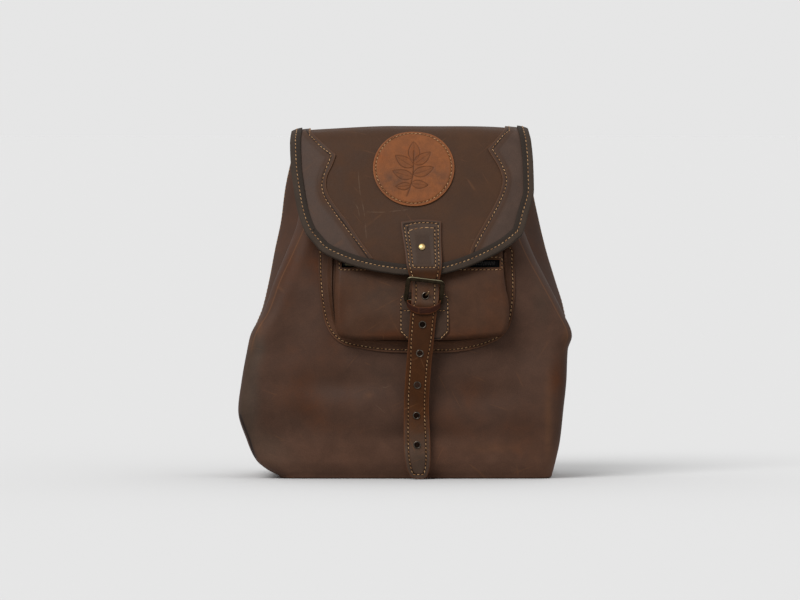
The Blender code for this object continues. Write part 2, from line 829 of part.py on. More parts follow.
def make_rivet():
    rows = 5
    dome = []
    for i in range(rows + 1):
        angle = 0.5 * math.pi * (1.0 - i / rows)
        dome.append((RIVET_RADIUS * math.cos(angle), 0.6 + 1.5 * math.sin(angle)))
    profile = dome + [(RIVET_RADIUS, 0.0), (0.0, 0.0)]
    rivet = turned("strap_rivet", profile, 16, BRASS_BRIGHT, closed=False)
    place_on_strap(rivet, RIVET_X, RIVET_Z, GAP)


def buckle_point(across, up):
    """Place in the buckle's own plane, from its centre, turned a little clockwise."""
    high = 0.5 * (BUCKLE_TOP_Z - BUCKLE_LOW_Z)
    turned_x = across * math.cos(BUCKLE_TURN) + up * math.sin(BUCKLE_TURN)
    turned_z = up * math.cos(BUCKLE_TURN) - across * math.sin(BUCKLE_TURN)
    y = lerp(BUCKLE_LOW_Y, BUCKLE_TOP_Y, 0.5 + 0.5 * up / high)
    return BUCKLE_X + turned_x, y, 0.5 * (BUCKLE_TOP_Z + BUCKLE_LOW_Z) + turned_z


def make_buckle():
    half_width = 0.5 * BUCKLE_WIDTH
    half_height = 0.5 * (BUCKLE_TOP_Z - BUCKLE_LOW_Z)
    radius = 4.0
    points = []
    for corner, (sx, sz) in enumerate(((1, 1), (-1, 1), (-1, -1), (1, -1))):
        for i in range(4):
            angle = 0.5 * math.pi * (corner + i / 3.0)
            across = sx * (half_width - radius) + radius * math.cos(angle)
            up = sz * (half_height - radius) + radius * math.sin(angle)
            points.append(buckle_point(across, up))
    wire("buckle_frame", points, BUCKLE_WIRE, BRASS_DARK, cyclic=True)
    prong = (
        (21.2, -99.6, 197.3),
        (21.4, -99.9, 199.3),
        (21.8, -102.0, 201.0),
        (22.4, -106.2, 201.8),
        (24.2, -109.0, 203.8),
        (25.8, -110.0, 206.0),
    )
    wire("buckle_prong", prong, PRONG_RADIUS, BRASS_DARK)


def make_chape():
    def face(across, up):
        z = lerp(CHAPE_CORNER_Z[0], CHAPE_CORNER_Z[-1], up)
        half = float(np.interp(z, CHAPE_CORNER_Z, CHAPE_CORNER_HALF))
        return CHAPE_X + half * (2.0 * across - 1.0), pocket_face(z) - 2.0 * GAP, z

    sheet("buckle_chape", 2, 11, face, POCKET_THICK, 1.0, LEATHER_BLACK)


def make_keeper():
    half_depth = 0.5 * (KEEPER_BACK_Y - KEEPER_FRONT_Y)
    middle_y = 0.5 * (KEEPER_BACK_Y + KEEPER_FRONT_Y)

    def band(round_way, up):
        cx, cy = squared_round(2.0 * math.pi * round_way, 5.0)
        x = KEEPER_X + 0.5 * KEEPER_WIDTH * cx
        return x, middle_y + half_depth * cy, KEEPER_Z + KEEPER_HEIGHT * (up - 0.5)

    sheet("strap_keeper", 28, 1, band, KEEPER_THICK, -1.0, LEATHER_RUST, weld=True)


# Carrying straps

def make_carrying():
    def anchor(across, up):
        z = lerp(ANCHOR_LOW_Z, ANCHOR_HIGH_Z, up)
        x = lerp(ANCHOR_HALF_WIDTH, -ANCHOR_HALF_WIDTH, across)
        return x, panel_back(x, z) + 2.0 * GAP, z

    sheet("strap_anchor", 6, 4, anchor, 2.0, 1.0, LEATHER_DARK)
    for side, sign in (("left", -1.0), ("right", 1.0)):
        make_shoulder(side, sign)


def make_shoulder(side, sign):
    down_way = Vector((sign * math.sin(SHOULDER_LEAN), 0.0, -math.cos(SHOULDER_LEAN)))
    across_way = Vector((math.cos(SHOULDER_LEAN), 0.0, sign * math.sin(SHOULDER_LEAN)))
    start = Vector((sign * SHOULDER_TOP_X, BACK_Y + GAP + PANEL_THICK, SHOULDER_TOP_Z))

    def band(across, along):
        middle = start + down_way * SHOULDER.read("down", along)
        middle.y += SHOULDER.read("out", along)
        return middle + across_way * SHOULDER_WIDTH * (0.5 - across)

    sheet("shoulder_strap_" + side, 2, 36, band, SHOULDER_THICK, 0.0, LEATHER_DARK)

    def tab(across, up):
        z = lerp(TAB_LOW_Z, TAB_HIGH_Z, up)
        x = sign * TAB_X + lerp(TAB_HALF_WIDTH, -TAB_HALF_WIDTH, across)
        return x, panel_back(x, z) + 2.0 * GAP, z

    sheet("strap_tab_" + side, 3, 3, tab, 2.0, 1.0, LEATHER_DARK)


def main():
    for item in list(bpy.data.objects):
        bpy.data.objects.remove(item, do_unlink=True)
    make_body()
    make_flap()
    make_wing("left", -1.0)
    make_wing("right", 1.0)
    make_binding()
    make_patch()
    make_pocket()
    make_zip()
    make_strap()
    make_rivet()
    make_buckle()
    make_chape()
    make_keeper()
    make_carrying()


main()
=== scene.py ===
"""Leather rucksack: the detailed outside of each piece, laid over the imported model's frame.

World axes follow the frame: +X to the right in front view, -Y towards the front, +Z up.
Tables and named sizes are in millimetres, and the meshes made from them are in metres.
"""

import math

import bmesh
import bpy
import numpy as np
from bpy.props import FloatProperty, FloatVectorProperty, PointerProperty
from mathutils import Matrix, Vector


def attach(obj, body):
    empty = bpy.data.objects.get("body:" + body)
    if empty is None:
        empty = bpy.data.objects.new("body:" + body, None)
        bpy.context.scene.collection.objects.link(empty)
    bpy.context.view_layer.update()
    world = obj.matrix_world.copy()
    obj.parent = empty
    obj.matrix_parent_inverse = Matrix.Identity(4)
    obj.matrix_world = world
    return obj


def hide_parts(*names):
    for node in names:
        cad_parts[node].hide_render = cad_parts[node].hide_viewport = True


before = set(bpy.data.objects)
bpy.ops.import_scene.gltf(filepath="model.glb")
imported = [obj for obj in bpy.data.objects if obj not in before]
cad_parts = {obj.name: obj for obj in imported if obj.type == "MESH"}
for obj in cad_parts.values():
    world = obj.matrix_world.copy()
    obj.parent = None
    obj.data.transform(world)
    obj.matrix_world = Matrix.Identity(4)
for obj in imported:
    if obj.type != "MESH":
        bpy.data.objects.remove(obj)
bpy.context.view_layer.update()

bl_info = {
    "name": "Leather Rucksack",
    "version": (1, 0, 0),
    "blender": (4, 5, 0),
    "location": "3D View > Sidebar > Rucksack",
    "description": "Builds a waxed leather rucksack piece by piece, with its stitches, metal and studio",
    "category": "Add Mesh",
}

BODY_NAME = "root"
MM = 0.001
FAR_FROM_EDGE = 60.0

# Share of light that a leather face sends back as sheen, and the light that falls on it
SHEEN = 0.012
LIGHT = 1.08


def linear(byte):
    value = byte / 255.0
    return value / 12.92 if value <= 0.04045 else ((value + 0.055) / 1.055) ** 2.4


def tone(red, green, blue):
    """Base colour that a matt face needs to look like this colour under the studio's light."""
    return tuple(max(0.002, (linear(byte) - SHEEN) / LIGHT) for byte in (red, green, blue))


# Sizes and colours that a user may change

class RucksackSizes(bpy.types.PropertyGroup):
    """Sizes of the fine detail, which doesn't change the rucksack's own outline"""

    stitch_pitch: FloatProperty(
        name="Stitch pitch", description="Distance from one stitch to the next", default=0.0044,
        unit="LENGTH",
        min=0.002, max=0.01,
    )
    stitch_length: FloatProperty(
        name="Stitch length", description="Length of thread seen between two holes", default=0.0030,
        unit="LENGTH",
        min=0.001, max=0.008,
    )
    stitch_width: FloatProperty(
        name="Stitch width", description="Thickness of the sewing thread", default=0.00086, unit="LENGTH",
        min=0.0003, max=0.003,
    )
    wall_thickness: FloatProperty(
        name="Wall thickness", description="Thickness of the body leather", default=0.0022, unit="LENGTH",
        min=0.001, max=0.004,
    )
    flap_thickness: FloatProperty(
        name="Flap thickness", description="Thickness of the flap leather", default=0.0018, unit="LENGTH",
        min=0.001, max=0.004,
    )
    strap_thickness: FloatProperty(
        name="Strap thickness", description="Thickness of the closing strap", default=0.0024, unit="LENGTH",
        min=0.001, max=0.004,
    )
    ripple: FloatProperty(
        name="Ripple", description="Height of the soft waves in the body leather", default=0.0009,
        unit="LENGTH",
        min=0.0, max=0.002,
    )
    grain_depth: FloatProperty(
        name="Grain depth", description="Depth of the leather's pores", default=0.00010, unit="LENGTH",
        min=0.0, max=0.001,
    )


class RucksackColours(bpy.types.PropertyGroup):
    """Colours of the leathers, the thread and the metal"""

    flap: FloatVectorProperty(
        name="Flap leather", description="Waxed brown of the flap", default=tone(73, 54, 43), subtype="COLOR",
    )
    overlay: FloatVectorProperty(
        name="Overlay leather", description="Greyer brown of the two shapes on the flap",
        default=tone(78, 64, 57),
        subtype="COLOR",
    )
    body: FloatVectorProperty(
        name="Body leather", description="Waxed brown of the body", default=tone(79, 60, 51), subtype="COLOR",
    )
    pocket: FloatVectorProperty(
        name="Pocket leather", description="Brown of the bellows pocket", default=tone(78, 57, 46),
        subtype="COLOR",
    )
    strap: FloatVectorProperty(
        name="Strap leather", description="Reddish brown of the closing strap", default=tone(67, 45, 33),
        subtype="COLOR",
    )
    keeper: FloatVectorProperty(
        name="Keeper leather", description="Rust brown of the strap's loop", default=tone(56, 37, 18),
        subtype="COLOR",
    )
    chape: FloatVectorProperty(
        name="Chape leather", description="Dark brown of the patch under the buckle",
        default=tone(69, 55, 47),
        subtype="COLOR",
    )
    patch: FloatVectorProperty(
        name="Patch leather", description="Tan of the round patch", default=tone(124, 78, 51),
        subtype="COLOR",
    )
    warm: FloatVectorProperty(
        name="Warm tone", description="Reddish brown where the wax has rubbed through",
        default=tone(80, 51, 37),
        subtype="COLOR",
    )
    grey: FloatVectorProperty(
        name="Grey tone", description="Grey brown where the wax lies thick", default=tone(75, 62, 54),
        subtype="COLOR",
    )
    worn: FloatVectorProperty(
        name="Worn tone", description="Light orange brown of rubbed edges and scratches",
        default=tone(112, 78, 56),
        subtype="COLOR",
    )
    tape: FloatVectorProperty(
        name="Edge tape", description="Dark grey brown of the tape round the flap", default=tone(66, 57, 50),
        subtype="COLOR",
    )
    zip: FloatVectorProperty(
        name="Zip tape", description="Near black of the zip", default=tone(24, 22, 21), subtype="COLOR",
    )
    thread: FloatVectorProperty(
        name="Thread", description="Golden beige of the sewing thread", default=tone(194, 155, 113),
        subtype="COLOR",
    )
    brass: FloatVectorProperty(
        name="Antique brass", description="Dark greenish brass of the buckle and the zip's runner",
        default=(0.040, 0.029, 0.017), subtype="COLOR",
    )
    rivet: FloatVectorProperty(
        name="Rivet brass", description="Bright gold of the rivet's head", default=(0.66, 0.50, 0.23),
        subtype="COLOR",
    )


class RucksackStudio(bpy.types.PropertyGroup):
    """Floor, light and camera"""

    floor: FloatVectorProperty(
        name="Floor", description="Colour of the studio's floor", default=(0.532, 0.532, 0.532),
        subtype="COLOR",
    )
    backdrop: FloatProperty(
        name="Backdrop", description="Brightness of the plain space behind", default=0.79, min=0.0, max=4.0,
    )
    key_light: FloatProperty(
        name="Key light", description="Strength of the light from the upper front left", default=2.25,
        min=0.0, max=10.0,
    )
    fill_light: FloatProperty(
        name="Fill light", description="Strength of the light from the front right", default=0.2, min=0.0,
        max=10.0,
    )
    back_light: FloatProperty(
        name="Back light", description="Brightness added to the space behind the rucksack", default=0.75,
        min=0.0, max=4.0,
    )
    distance: FloatProperty(
        name="Camera distance", description="How far the camera stands off", default=8.0, unit="LENGTH",
        min=0.5,
    )
    elevation: FloatProperty(
        name="Camera elevation", description="Angle of the camera above level", default=math.radians(1.3),
        subtype="ANGLE",
    )
    lens: FloatProperty(
        name="Lens", description="Focal length of the camera", default=329.5, subtype="DISTANCE_CAMERA",
        min=20.0,
    )


def sizes():
    return bpy.context.scene.rucksack_sizes


def colours():
    return bpy.context.scene.rucksack_colours


# Curves read from tables

def monotone_slopes(key, value):
    """Slopes for a smooth curve through the points that never overshoots between them."""
    step = np.diff(key)
    rise = np.diff(value) / step
    slope = np.empty(len(key))
    slope[0] = rise[0]
    slope[-1] = rise[-1]
    for i in range(1, len(key) - 1):
        if rise[i - 1] * rise[i] <= 0.0:
            slope[i] = 0.0
            continue
        before = 2.0 * step[i] + step[i - 1]
        after = step[i] + 2.0 * step[i - 1]
        slope[i] = (before + after) / (before / rise[i - 1] + after / rise[i])
    return slope


def between(f, step, first, last, first_slope, last_slope):
    """Value between two rows on a smooth curve that has a known slope at each."""
    start = (1.0 + 2.0 * f) * (1.0 - f) ** 2 * first + f * (1.0 - f) ** 2 * step * first_slope
    end = f * f * (3.0 - 2.0 * f) * last - f * f * (1.0 - f) * step * last_slope
    return start + end


class Table:
    """Rows of named columns, read between its rows along a smooth curve. The first column is the key."""

    def __init__(self, columns, rows):
        data = np.array(rows, dtype=float)
        self.key = data[:, 0]
        self.values = {name: data[:, i] for i, name in enumerate(columns)}
        self.slopes = {name: monotone_slopes(self.key, column) for name, column in self.values.items()}

    def read(self, name, at):
        at = np.clip(np.asarray(at, dtype=float), self.key[0], self.key[-1])
        i = np.clip(np.searchsorted(self.key, at, side="right") - 1, 0, len(self.key) - 2)
        step = self.key[i + 1] - self.key[i]
        f = (at - self.key[i]) / step
        value = self.values[name]
        slope = self.slopes[name]
        return between(f, step, value[i], value[i + 1], slope[i], slope[i + 1])


def lerp(start, end, fraction):
    return start + (end - start) * fraction


def smooth(value, low, high):
    """0 below low, 1 above high, and an even S between them."""
    f = np.clip((value - low) / (high - low), 0.0, 1.0)
    return f * f * (3.0 - 2.0 * f)


def both(a, b):
    """Two values as arrays of one shape."""
    return np.broadcast_arrays(np.asarray(a, dtype=float), np.asarray(b, dtype=float))


def distances(points):
    """Distance run along a polyline at each of its points."""
    return np.concatenate(([0.0], np.cumsum(np.linalg.norm(np.diff(points, axis=0), axis=1))))


def read_along(at, run, points):
    """Points of a polyline at distances along it."""
    return np.column_stack([np.interp(at, run, points[:, k]) for k in range(points.shape[1])])


def unit(vectors):
    """Vectors brought to a length of one."""
    return vectors / np.linalg.norm(vectors, axis=-1, keepdims=True)


def squared_round(turn, squareness):
    """Cosine and sine of a ring that is round at 2 and squarer above."""
    power = 2.0 / squareness
    across = np.cos(turn)
    up = np.sin(turn)
    return np.copysign(np.abs(across) ** power, across), np.copysign(np.abs(up) ** power, up)


def waves(a, b, seed, lengths):
    """Soft uneven waves of about plus or minus one, over two distances."""
    source = np.random.default_rng(seed)
    total = 0.0
    for length in lengths:
        for _ in range(3):
            turn, phase = source.uniform(0.0, 2.0 * math.pi, 2)
            way = (a * math.cos(turn) + b * math.sin(turn)) / length
            total = total + length / lengths[0] * np.sin(2.0 * math.pi * way + phase)
    return total / (1.7 * len(lengths))


def blobs(rows, x, z):
    """Sum of round soft spots, each given by its x, z, spread along x, spread along z and amount."""
    total = np.zeros(np.broadcast(x, z).shape)
    for spot_x, spot_z, spread_x, spread_z, amount in rows:
        far = ((x - spot_x) / spread_x) ** 2 + ((z - spot_z) / spread_z) ** 2
        total = total + amount * np.exp(-far)
    return total


# Body

BACK_Y = 66.0
WALL_BACK_Y = BACK_Y - 0.9
MOUTH_Z = 353.0
PANEL_TOP_Z = 348.0
PANEL_SWELL = 4.0
PANEL_THICK = 2.5
PANEL_SEAM = 9.0
SEAM_SINK = 1.1
GAP = 0.3
CORNER_START = 0.20
CORNER_END = 0.30
CORNER_RADIUS = 22.0
WALL_RUN_PER_ACROSS = 350.0
WALL_SEAM_RUN = 0.00606

# Distance round the wall's side for one unit of its run, and one that takes a mark off the sides
WALL_SIDE_RUN = 660.0
OFF_THE_FRONT = 900.0

BODY = Table(
    ("z", "back_left", "front_left", "front_right", "back_right", "front_y", "bulge", "fold"),
    (
        (0.0, -128.0, -134.0, 161.0, 155.0, -64.0, 1.0, 0.0),
        (9.0, -146.0, -152.0, 163.0, 158.0, -70.0, 2.5, 0.0),
        (20.0, -159.0, -164.5, 165.6, 161.0, -75.0, 4.0, 0.0),
        (42.0, -170.0, -174.5, 170.0, 166.0, -80.0, 5.0, 0.0),
        (75.0, -179.0, -184.0, 173.5, 170.0, -82.0, 5.0, 0.0),
        (108.0, -176.0, -180.0, 177.0, 173.0, -80.0, 5.0, 2.0),
        (141.0, -171.0, -174.0, 178.5, 175.0, -76.5, 4.5, 5.0),
        (156.0, -169.0, -170.5, 183.0, 180.0, -75.0, 4.5, 7.0),
        (185.0, -158.5, -154.0, 170.0, 175.5, -72.0, 4.0, 11.0),
        (215.0, -151.5, -143.0, 153.5, 166.5, -68.0, 4.0, 15.0),
        (251.0, -144.7, -126.0, 134.0, 155.7, -62.0, 4.0, 19.0),
        (280.0, -138.5, -114.0, 123.0, 148.8, -57.0, 4.0, 21.0),
        (317.0, -133.7, -108.0, 119.0, 141.0, -50.0, 4.0, 23.0),
        (353.0, -126.0, -105.0, 116.0, 135.0, -42.0, 4.0, 24.0),
    ),
)

# Dents of the body's front: where, how wide, and how deep
DENTS = (
    (-70.0, 104.0, 55.0, 15.0, 4.5),
    (80.0, 92.0, 48.0, 17.0, 4.0),
    (-132.0, 52.0, 26.0, 30.0, 5.5),
    (130.0, 140.0, 26.0, 34.0, 4.5),
    (-128.0, 150.0, 22.0, 40.0, 4.5),
    (20.0, 46.0, 60.0, 12.0, 2.5),
    (-100.0, 262.0, 18.0, 34.0, 4.0),
    (108.0, 290.0, 16.0, 36.0, 4.0),
)

# Warm (above 0) and grey (below 0) areas of the body's front
BODY_TONES = (
    (-176.0, 92.0, 16.0, 62.0, -1.0),
    (-150.0, 40.0, 22.0, 26.0, -0.5),
    (-163.0, 140.0, 12.0, 22.0, -0.8),
    (-118.0, 118.0, 22.0, 46.0, 0.5),
    (-84.0, 140.0, 20.0, 26.0, 0.35),
    (-104.0, 66.0, 26.0, 26.0, 0.25),
    (-66.0, 96.0, 16.0, 24.0, 0.4),
    (-30.0, 112.0, 30.0, 14.0, -0.2),
    (40.0, 60.0, 44.0, 30.0, 0.2),
    (-62.0, 60.0, 60.0, 26.0, 0.1),
    (78.0, 104.0, 30.0, 22.0, 0.3),
    (122.0, 70.0, 22.0, 50.0, 0.15),
    (150.0, 190.0, 14.0, 60.0, -0.5),
    (165.0, 110.0, 10.0, 26.0, 0.5),
    (-130.0, 230.0, 14.0, 40.0, 0.35),
    (-98.0, 232.0, 12.0, 30.0, 0.55),
)

# Rubbed areas of the body's front
BODY_RUBS = (
    (156.0, 66.0, 4.0, 44.0, 0.30),
    (-170.0, 148.0, 4.0, 9.0, 0.55),
    (-160.0, 172.0, 3.0, 16.0, 0.35),
    (176.0, 150.0, 4.0, 12.0, 0.5),
    (-40.0, 92.0, 5.0, 3.0, 0.25),
    (90.0, 34.0, 30.0, 5.0, 0.14),
)


# How much paler the foot of the body is made: painted light that lifts the shade near the floor
FOOT_PAINTED_LIGHT = 0.95

# How much paler the body is made under the pocket: painted light that lifts the pocket's shade
UNDER_POCKET_PAINTED_LIGHT = 0.8

# Line where the body's lower left edge is turned back
BODY_TURNED = ((-181.0, 70.0), (-175.5, 55.5), (-170.6, 42.9), (-167.6, 32.0), (-164.5, 22.0))

# Warm and grey areas of the flap
FLAP_TONES = (
    (-40.0, 240.0, 50.0, 20.0, 0.2),
    (60.0, 238.0, 40.0, 18.0, 0.2),
    (9.0, 300.0, 70.0, 34.0, -0.1),
    (-56.0, 330.0, 20.0, 40.0, 0.15),
    (20.0, 385.0, 90.0, 12.0, -0.3),
)

# Scratches as rows of x and z points
BODY_LINES = (
    ((-30.0, 102.5), (-22.0, 100.5), (-16.0, 103.0)),
    ((-34.0, 82.0), (-28.0, 78.0), (-22.0, 71.5)),
    ((-3.0, 112.0), (6.0, 108.5)),
)
FLAP_LINES = (
    ((-46.0, 292.5), (-28.0, 292.0), (-12.0, 293.2), (4.0, 295.0)),
    ((-52.0, 338.0), (-50.0, 316.0), (-45.0, 290.0), (-42.5, 262.0)),
    ((70.0, 262.5), (84.0, 261.6), (92.0, 259.0), (102.0, 262.0)),
    ((-58.0, 305.0), (-52.0, 296.0), (-50.0, 286.0)),
)


def line_marks(lines, x, z):
    """Signed distance to each scratch and how strong it is along its length."""
    marks = {}
    for number, line in enumerate(lines, start=1):
        points = np.array(line)
        tall = np.ptp(points[:, 1]) > np.ptp(points[:, 0])
        key, value, at, across = (1, 0, z, x) if tall else (0, 1, x, z)
        points = points[np.argsort(points[:, key])]
        curve = Table(("key", "value"), points[:, [key, value]])
        low = points[0, key]
        high = points[-1, key]
        marks["line_%d" % number] = across - curve.read("value", at)
        marks["line_fade_%d" % number] = smooth(at, low, low + 5.0) * (1.0 - smooth(at, high - 5.0, high))
    return marks


def body_ripple(a, b):
    return waves(a, b, 11, (120.0, 74.0, 46.0)) * sizes().ripple / MM


def body_front(x, z):
    """The y of the body's outer front face."""
    x = np.asarray(x, dtype=float)
    left = BODY.read("front_left", z)
    right = BODY.read("front_right", z)
    across = 2.0 * (x - left) / (right - left) - 1.0
    crown = BODY.read("bulge", z) * np.maximum(0.0, 1.0 - across * across)
    level = np.maximum(0.0, 1.0 - across ** 6)
    return BODY.read("front_y", z) - crown + (blobs(DENTS, x, z) + body_ripple(x, z)) * level


def wall_points(across, z):
    """Outer points of the wall, from the back left edge round the front to the back right edge."""
    right = across > 0.5
    run = np.where(right, 1.0 - across, across)
    back_x = np.where(right, BODY.read("back_right", z), BODY.read("back_left", z))
    corner_x = np.where(right, BODY.read("front_right", z), BODY.read("front_left", z))
    corner_y = BODY.read("front_y", z)
    middle = 0.5 * (BODY.read("front_left", z) + BODY.read("front_right", z))
    inward = np.where(right, -1.0, 1.0)
    length = np.hypot(back_x - corner_x, WALL_BACK_Y - corner_y)
    before_x = corner_x + (back_x - corner_x) / length * CORNER_RADIUS
    before_y = corner_y + (WALL_BACK_Y - corner_y) / length * CORNER_RADIUS
    after_x = corner_x + inward * CORNER_RADIUS
    f = np.clip(run / CORNER_START, 0.0, 1.0)
    side_y = lerp(WALL_BACK_Y, before_y, f)
    dip = BODY.read("fold", z) + body_ripple(side_y + 300.0, z)
    side_x = lerp(back_x, before_x, f) + inward * dip * np.sin(math.pi * f) ** 2
    g = np.clip((run - CORNER_START) / (CORNER_END - CORNER_START), 0.0, 1.0)
    bend_x = (1.0 - g) ** 2 * before_x + 2.0 * g * (1.0 - g) * corner_x + g * g * after_x
    bend_y = (1.0 - g) ** 2 * before_y + (2.0 * g * (1.0 - g) + g * g) * corner_y
    bend_y = bend_y + (body_front(bend_x, z) - corner_y) * g * g
    h = np.clip((run - CORNER_END) / (0.5 - CORNER_END), 0.0, 1.0)
    front_x = lerp(after_x, middle, h)
    x = np.where(run <= CORNER_START, side_x, np.where(run <= CORNER_END, bend_x, front_x))
    y = np.where(run <= CORNER_START, side_y, np.where(run <= CORNER_END, bend_y, body_front(front_x, z)))
    return np.stack((x, y, np.broadcast_to(z, x.shape)), axis=-1)


def front_surface(x, z):
    x, z = both(x, z)
    return np.stack((x, body_front(x, z), z), axis=-1)


def panel_back(x, z):
    """The y of the back panel's outer face."""
    round_across = np.maximum(0.0, 1.0 - (np.asarray(x) / 150.0) ** 2)
    swell = PANEL_SWELL * round_across * np.sin(math.pi * np.minimum(1.0, np.asarray(z) / PANEL_TOP_Z))
    return BACK_Y + GAP + PANEL_THICK + swell


def back_raised(height):
    """The back panel's face moved out by a height, as a surface of x and z."""

    def surface(x, z):
        x, z = both(x, z)
        return np.stack((x, panel_back(x, z) + height, z), axis=-1)

    return surface


# Flap

FLAP_PROFILE_COLUMNS = ("y", "z")
FLAP_PROFILE = (
    (-101.6, 213.0), (-100.0, 223.0), (-96.4, 240.0), (-91.4, 257.0), (-84.0, 277.0), (-76.0, 298.0),
    (-60.0, 340.0), (-49.5, 364.0), (-41.5, 376.0), (-29.0, 383.6), (-8.0, 386.3), (16.0, 386.0),
    (41.0, 383.0), (59.0, 375.5), (68.8, 362.5), (71.4, 347.0), (71.6, 330.0), (72.3, 312.0),
)

FLAP_SIDES = Table(
    ("z", "left", "right"),
    (
        (222.0, 5.0, 25.0), (226.6, -25.9, 46.0), (232.1, -51.5, 65.5), (240.2, -74.3, 85.7),
        (249.7, -91.9, 103.5), (257.4, -98.8, 116.5), (267.0, -107.0, 126.4), (290.0, -116.5, 133.6),
        (318.0, -121.9, 140.2), (345.8, -125.3, 139.6), (373.0, -126.0, 137.2), (386.5, -124.5, 134.0),
    ),
)

FLAP_BOTTOM = Table(
    ("x", "z"),
    (
        (-107.0, 267.0), (-98.8, 257.4), (-91.9, 249.7), (-74.3, 240.2), (-51.5, 232.1), (-25.9, 226.6),
        (0.0, 223.6), (20.0, 222.8), (38.8, 224.6), (61.5, 230.4), (85.7, 240.2), (109.9, 253.4),
        (126.4, 267.0),
    ),
)

FLAP_MIDDLE_X = 6.0
FLAP_HALF_WIDTH = 132.0
FLAP_EDGE_DROP = 5.0
FLAP_INSET = 1.3
FLAP_CORNER_Z = 267.0
FLAP_LOWEST_Z = 222.8
FLAP_LEVEL_RUN = 130.0
FLAP_SPACING = Table(("row", "up"), ((0.0, 0.0), (0.38, 0.44), (0.88, 0.86), (1.0, 1.0)))
BINDING_LAST = 26.0 / 30.0
FLAP_BACK_SEAM = 5.0
FLAP_LEFT_FALL = 2.0
FLAP_CORNER_FALL = 2.6


def spaced_profile(points, count):
    """Evenly spaced points on a smooth curve through the profile, with their distances."""
    points = np.array(points, dtype=float)
    chord = np.concatenate(([0.0], np.cumsum(np.hypot(*np.diff(points, axis=0).T))))
    curve = Table(("run", *FLAP_PROFILE_COLUMNS), np.column_stack((chord, points)))
    fine = np.linspace(0.0, chord[-1], 8 * count)
    ys = curve.read("y", fine)
    zs = curve.read("z", fine)
    run = np.concatenate(([0.0], np.cumsum(np.hypot(np.diff(ys), np.diff(zs)))))
    even = np.linspace(0.0, run[-1], count)
    return even, np.interp(even, run, ys), np.interp(even, run, zs)


FLAP_RUN, FLAP_Y, FLAP_Z = spaced_profile(FLAP_PROFILE, 600)
FLAP_TOP = int(np.argmax(FLAP_Z))
FLAP_TOP_RUN = float(FLAP_RUN[FLAP_TOP])
FLAP_LENGTH = float(FLAP_RUN[-1])


def flap_run_at(z):
    """Distance up the flap's front at which it reaches a height."""
    return np.interp(z, FLAP_Z[: FLAP_TOP + 1], FLAP_RUN[: FLAP_TOP + 1])


def flap_height(run):
    """Height of the flap at a distance up it, kept at the top once past it."""
    return np.where(run < FLAP_TOP_RUN, np.interp(run, FLAP_RUN, FLAP_Z), FLAP_Z[FLAP_TOP])


def flap_surface(x, run):
    """Points of the flap's outer face, whose side edges fall in a little."""
    x, run = both(x, run)
    y = np.interp(run, FLAP_RUN, FLAP_Y)
    z = np.interp(run, FLAP_RUN, FLAP_Z)
    along_y = np.interp(run + 4.0, FLAP_RUN, FLAP_Y) - np.interp(run - 4.0, FLAP_RUN, FLAP_Y)
    along_z = np.interp(run + 4.0, FLAP_RUN, FLAP_Z) - np.interp(run - 4.0, FLAP_RUN, FLAP_Z)
    length = np.hypot(along_y, along_z)
    fade = np.clip((FLAP_LENGTH - 45.0 - run) / 50.0, 0.0, 1.0)
    drop = FLAP_EDGE_DROP * fade * np.abs((x - FLAP_MIDDLE_X) / FLAP_HALF_WIDTH) ** 4
    drop = drop + waves(x, run, 23, (150.0, 90.0)) * 0.5 * fade
    top = smooth(z, 330.0, 378.0) * fade
    fall = FLAP_LEFT_FALL * smooth(-x, 10.0, 90.0) * top
    fall = fall + FLAP_CORNER_FALL * np.clip((np.abs(x - FLAP_MIDDLE_X) - 116.0) / 15.0, 0.0, 1.2) ** 2 * top
    return np.stack((x, y + along_z / length * drop, z - along_y / length * drop - fall), axis=-1)


def flap_point(x, run, lift):
    """Points at a height over the flap's outer face."""
    step = 3.0
    run = np.clip(run, step, FLAP_LENGTH - step)
    across = flap_surface(x + step, run) - flap_surface(x - step, run)
    along = flap_surface(x, run + step) - flap_surface(x, run - step)
    return flap_surface(x, run) + unit(np.cross(across, along)) * np.asarray(lift)[..., None]


def flap_raised(height):
    """The flap's face at one height over it, as a surface of x and the distance up it."""
    return lambda x, run: flap_point(x, run, height)


def flap_side(side, run):
    """The x of the flap's outer side edge at a distance up the flap."""
    back = np.maximum(0.0, (run - FLAP_TOP_RUN) / (FLAP_LENGTH - FLAP_TOP_RUN))
    return FLAP_SIDES.read(side, flap_height(run)) + (2.0 if side == "right" else -2.0) * back


def flap_grid(across, row):
    """Place on the flap's leaf: x, and the distance up from the profile's lower end."""
    up = FLAP_SPACING.read("up", row)
    low_x = lerp(FLAP_BOTTOM.key[0], FLAP_BOTTOM.key[-1], across)
    first_run = flap_run_at(FLAP_LOWEST_Z + FLAP_INSET)
    low_run = flap_run_at(FLAP_BOTTOM.read("z", low_x) + FLAP_INSET)
    corner_run = flap_run_at(FLAP_CORNER_Z + FLAP_INSET)
    level_run = lerp(first_run, FLAP_LENGTH, up)
    bend = np.maximum(0.0, 1.0 - (level_run - first_run) / FLAP_LEVEL_RUN) ** 2
    run = level_run + (low_run - first_run) * bend
    edge_run = level_run + (corner_run - first_run) * bend
    left = flap_side("left", edge_run) + FLAP_INSET
    right = flap_side("right", edge_run) - FLAP_INSET
    return lerp(left, right, across), run


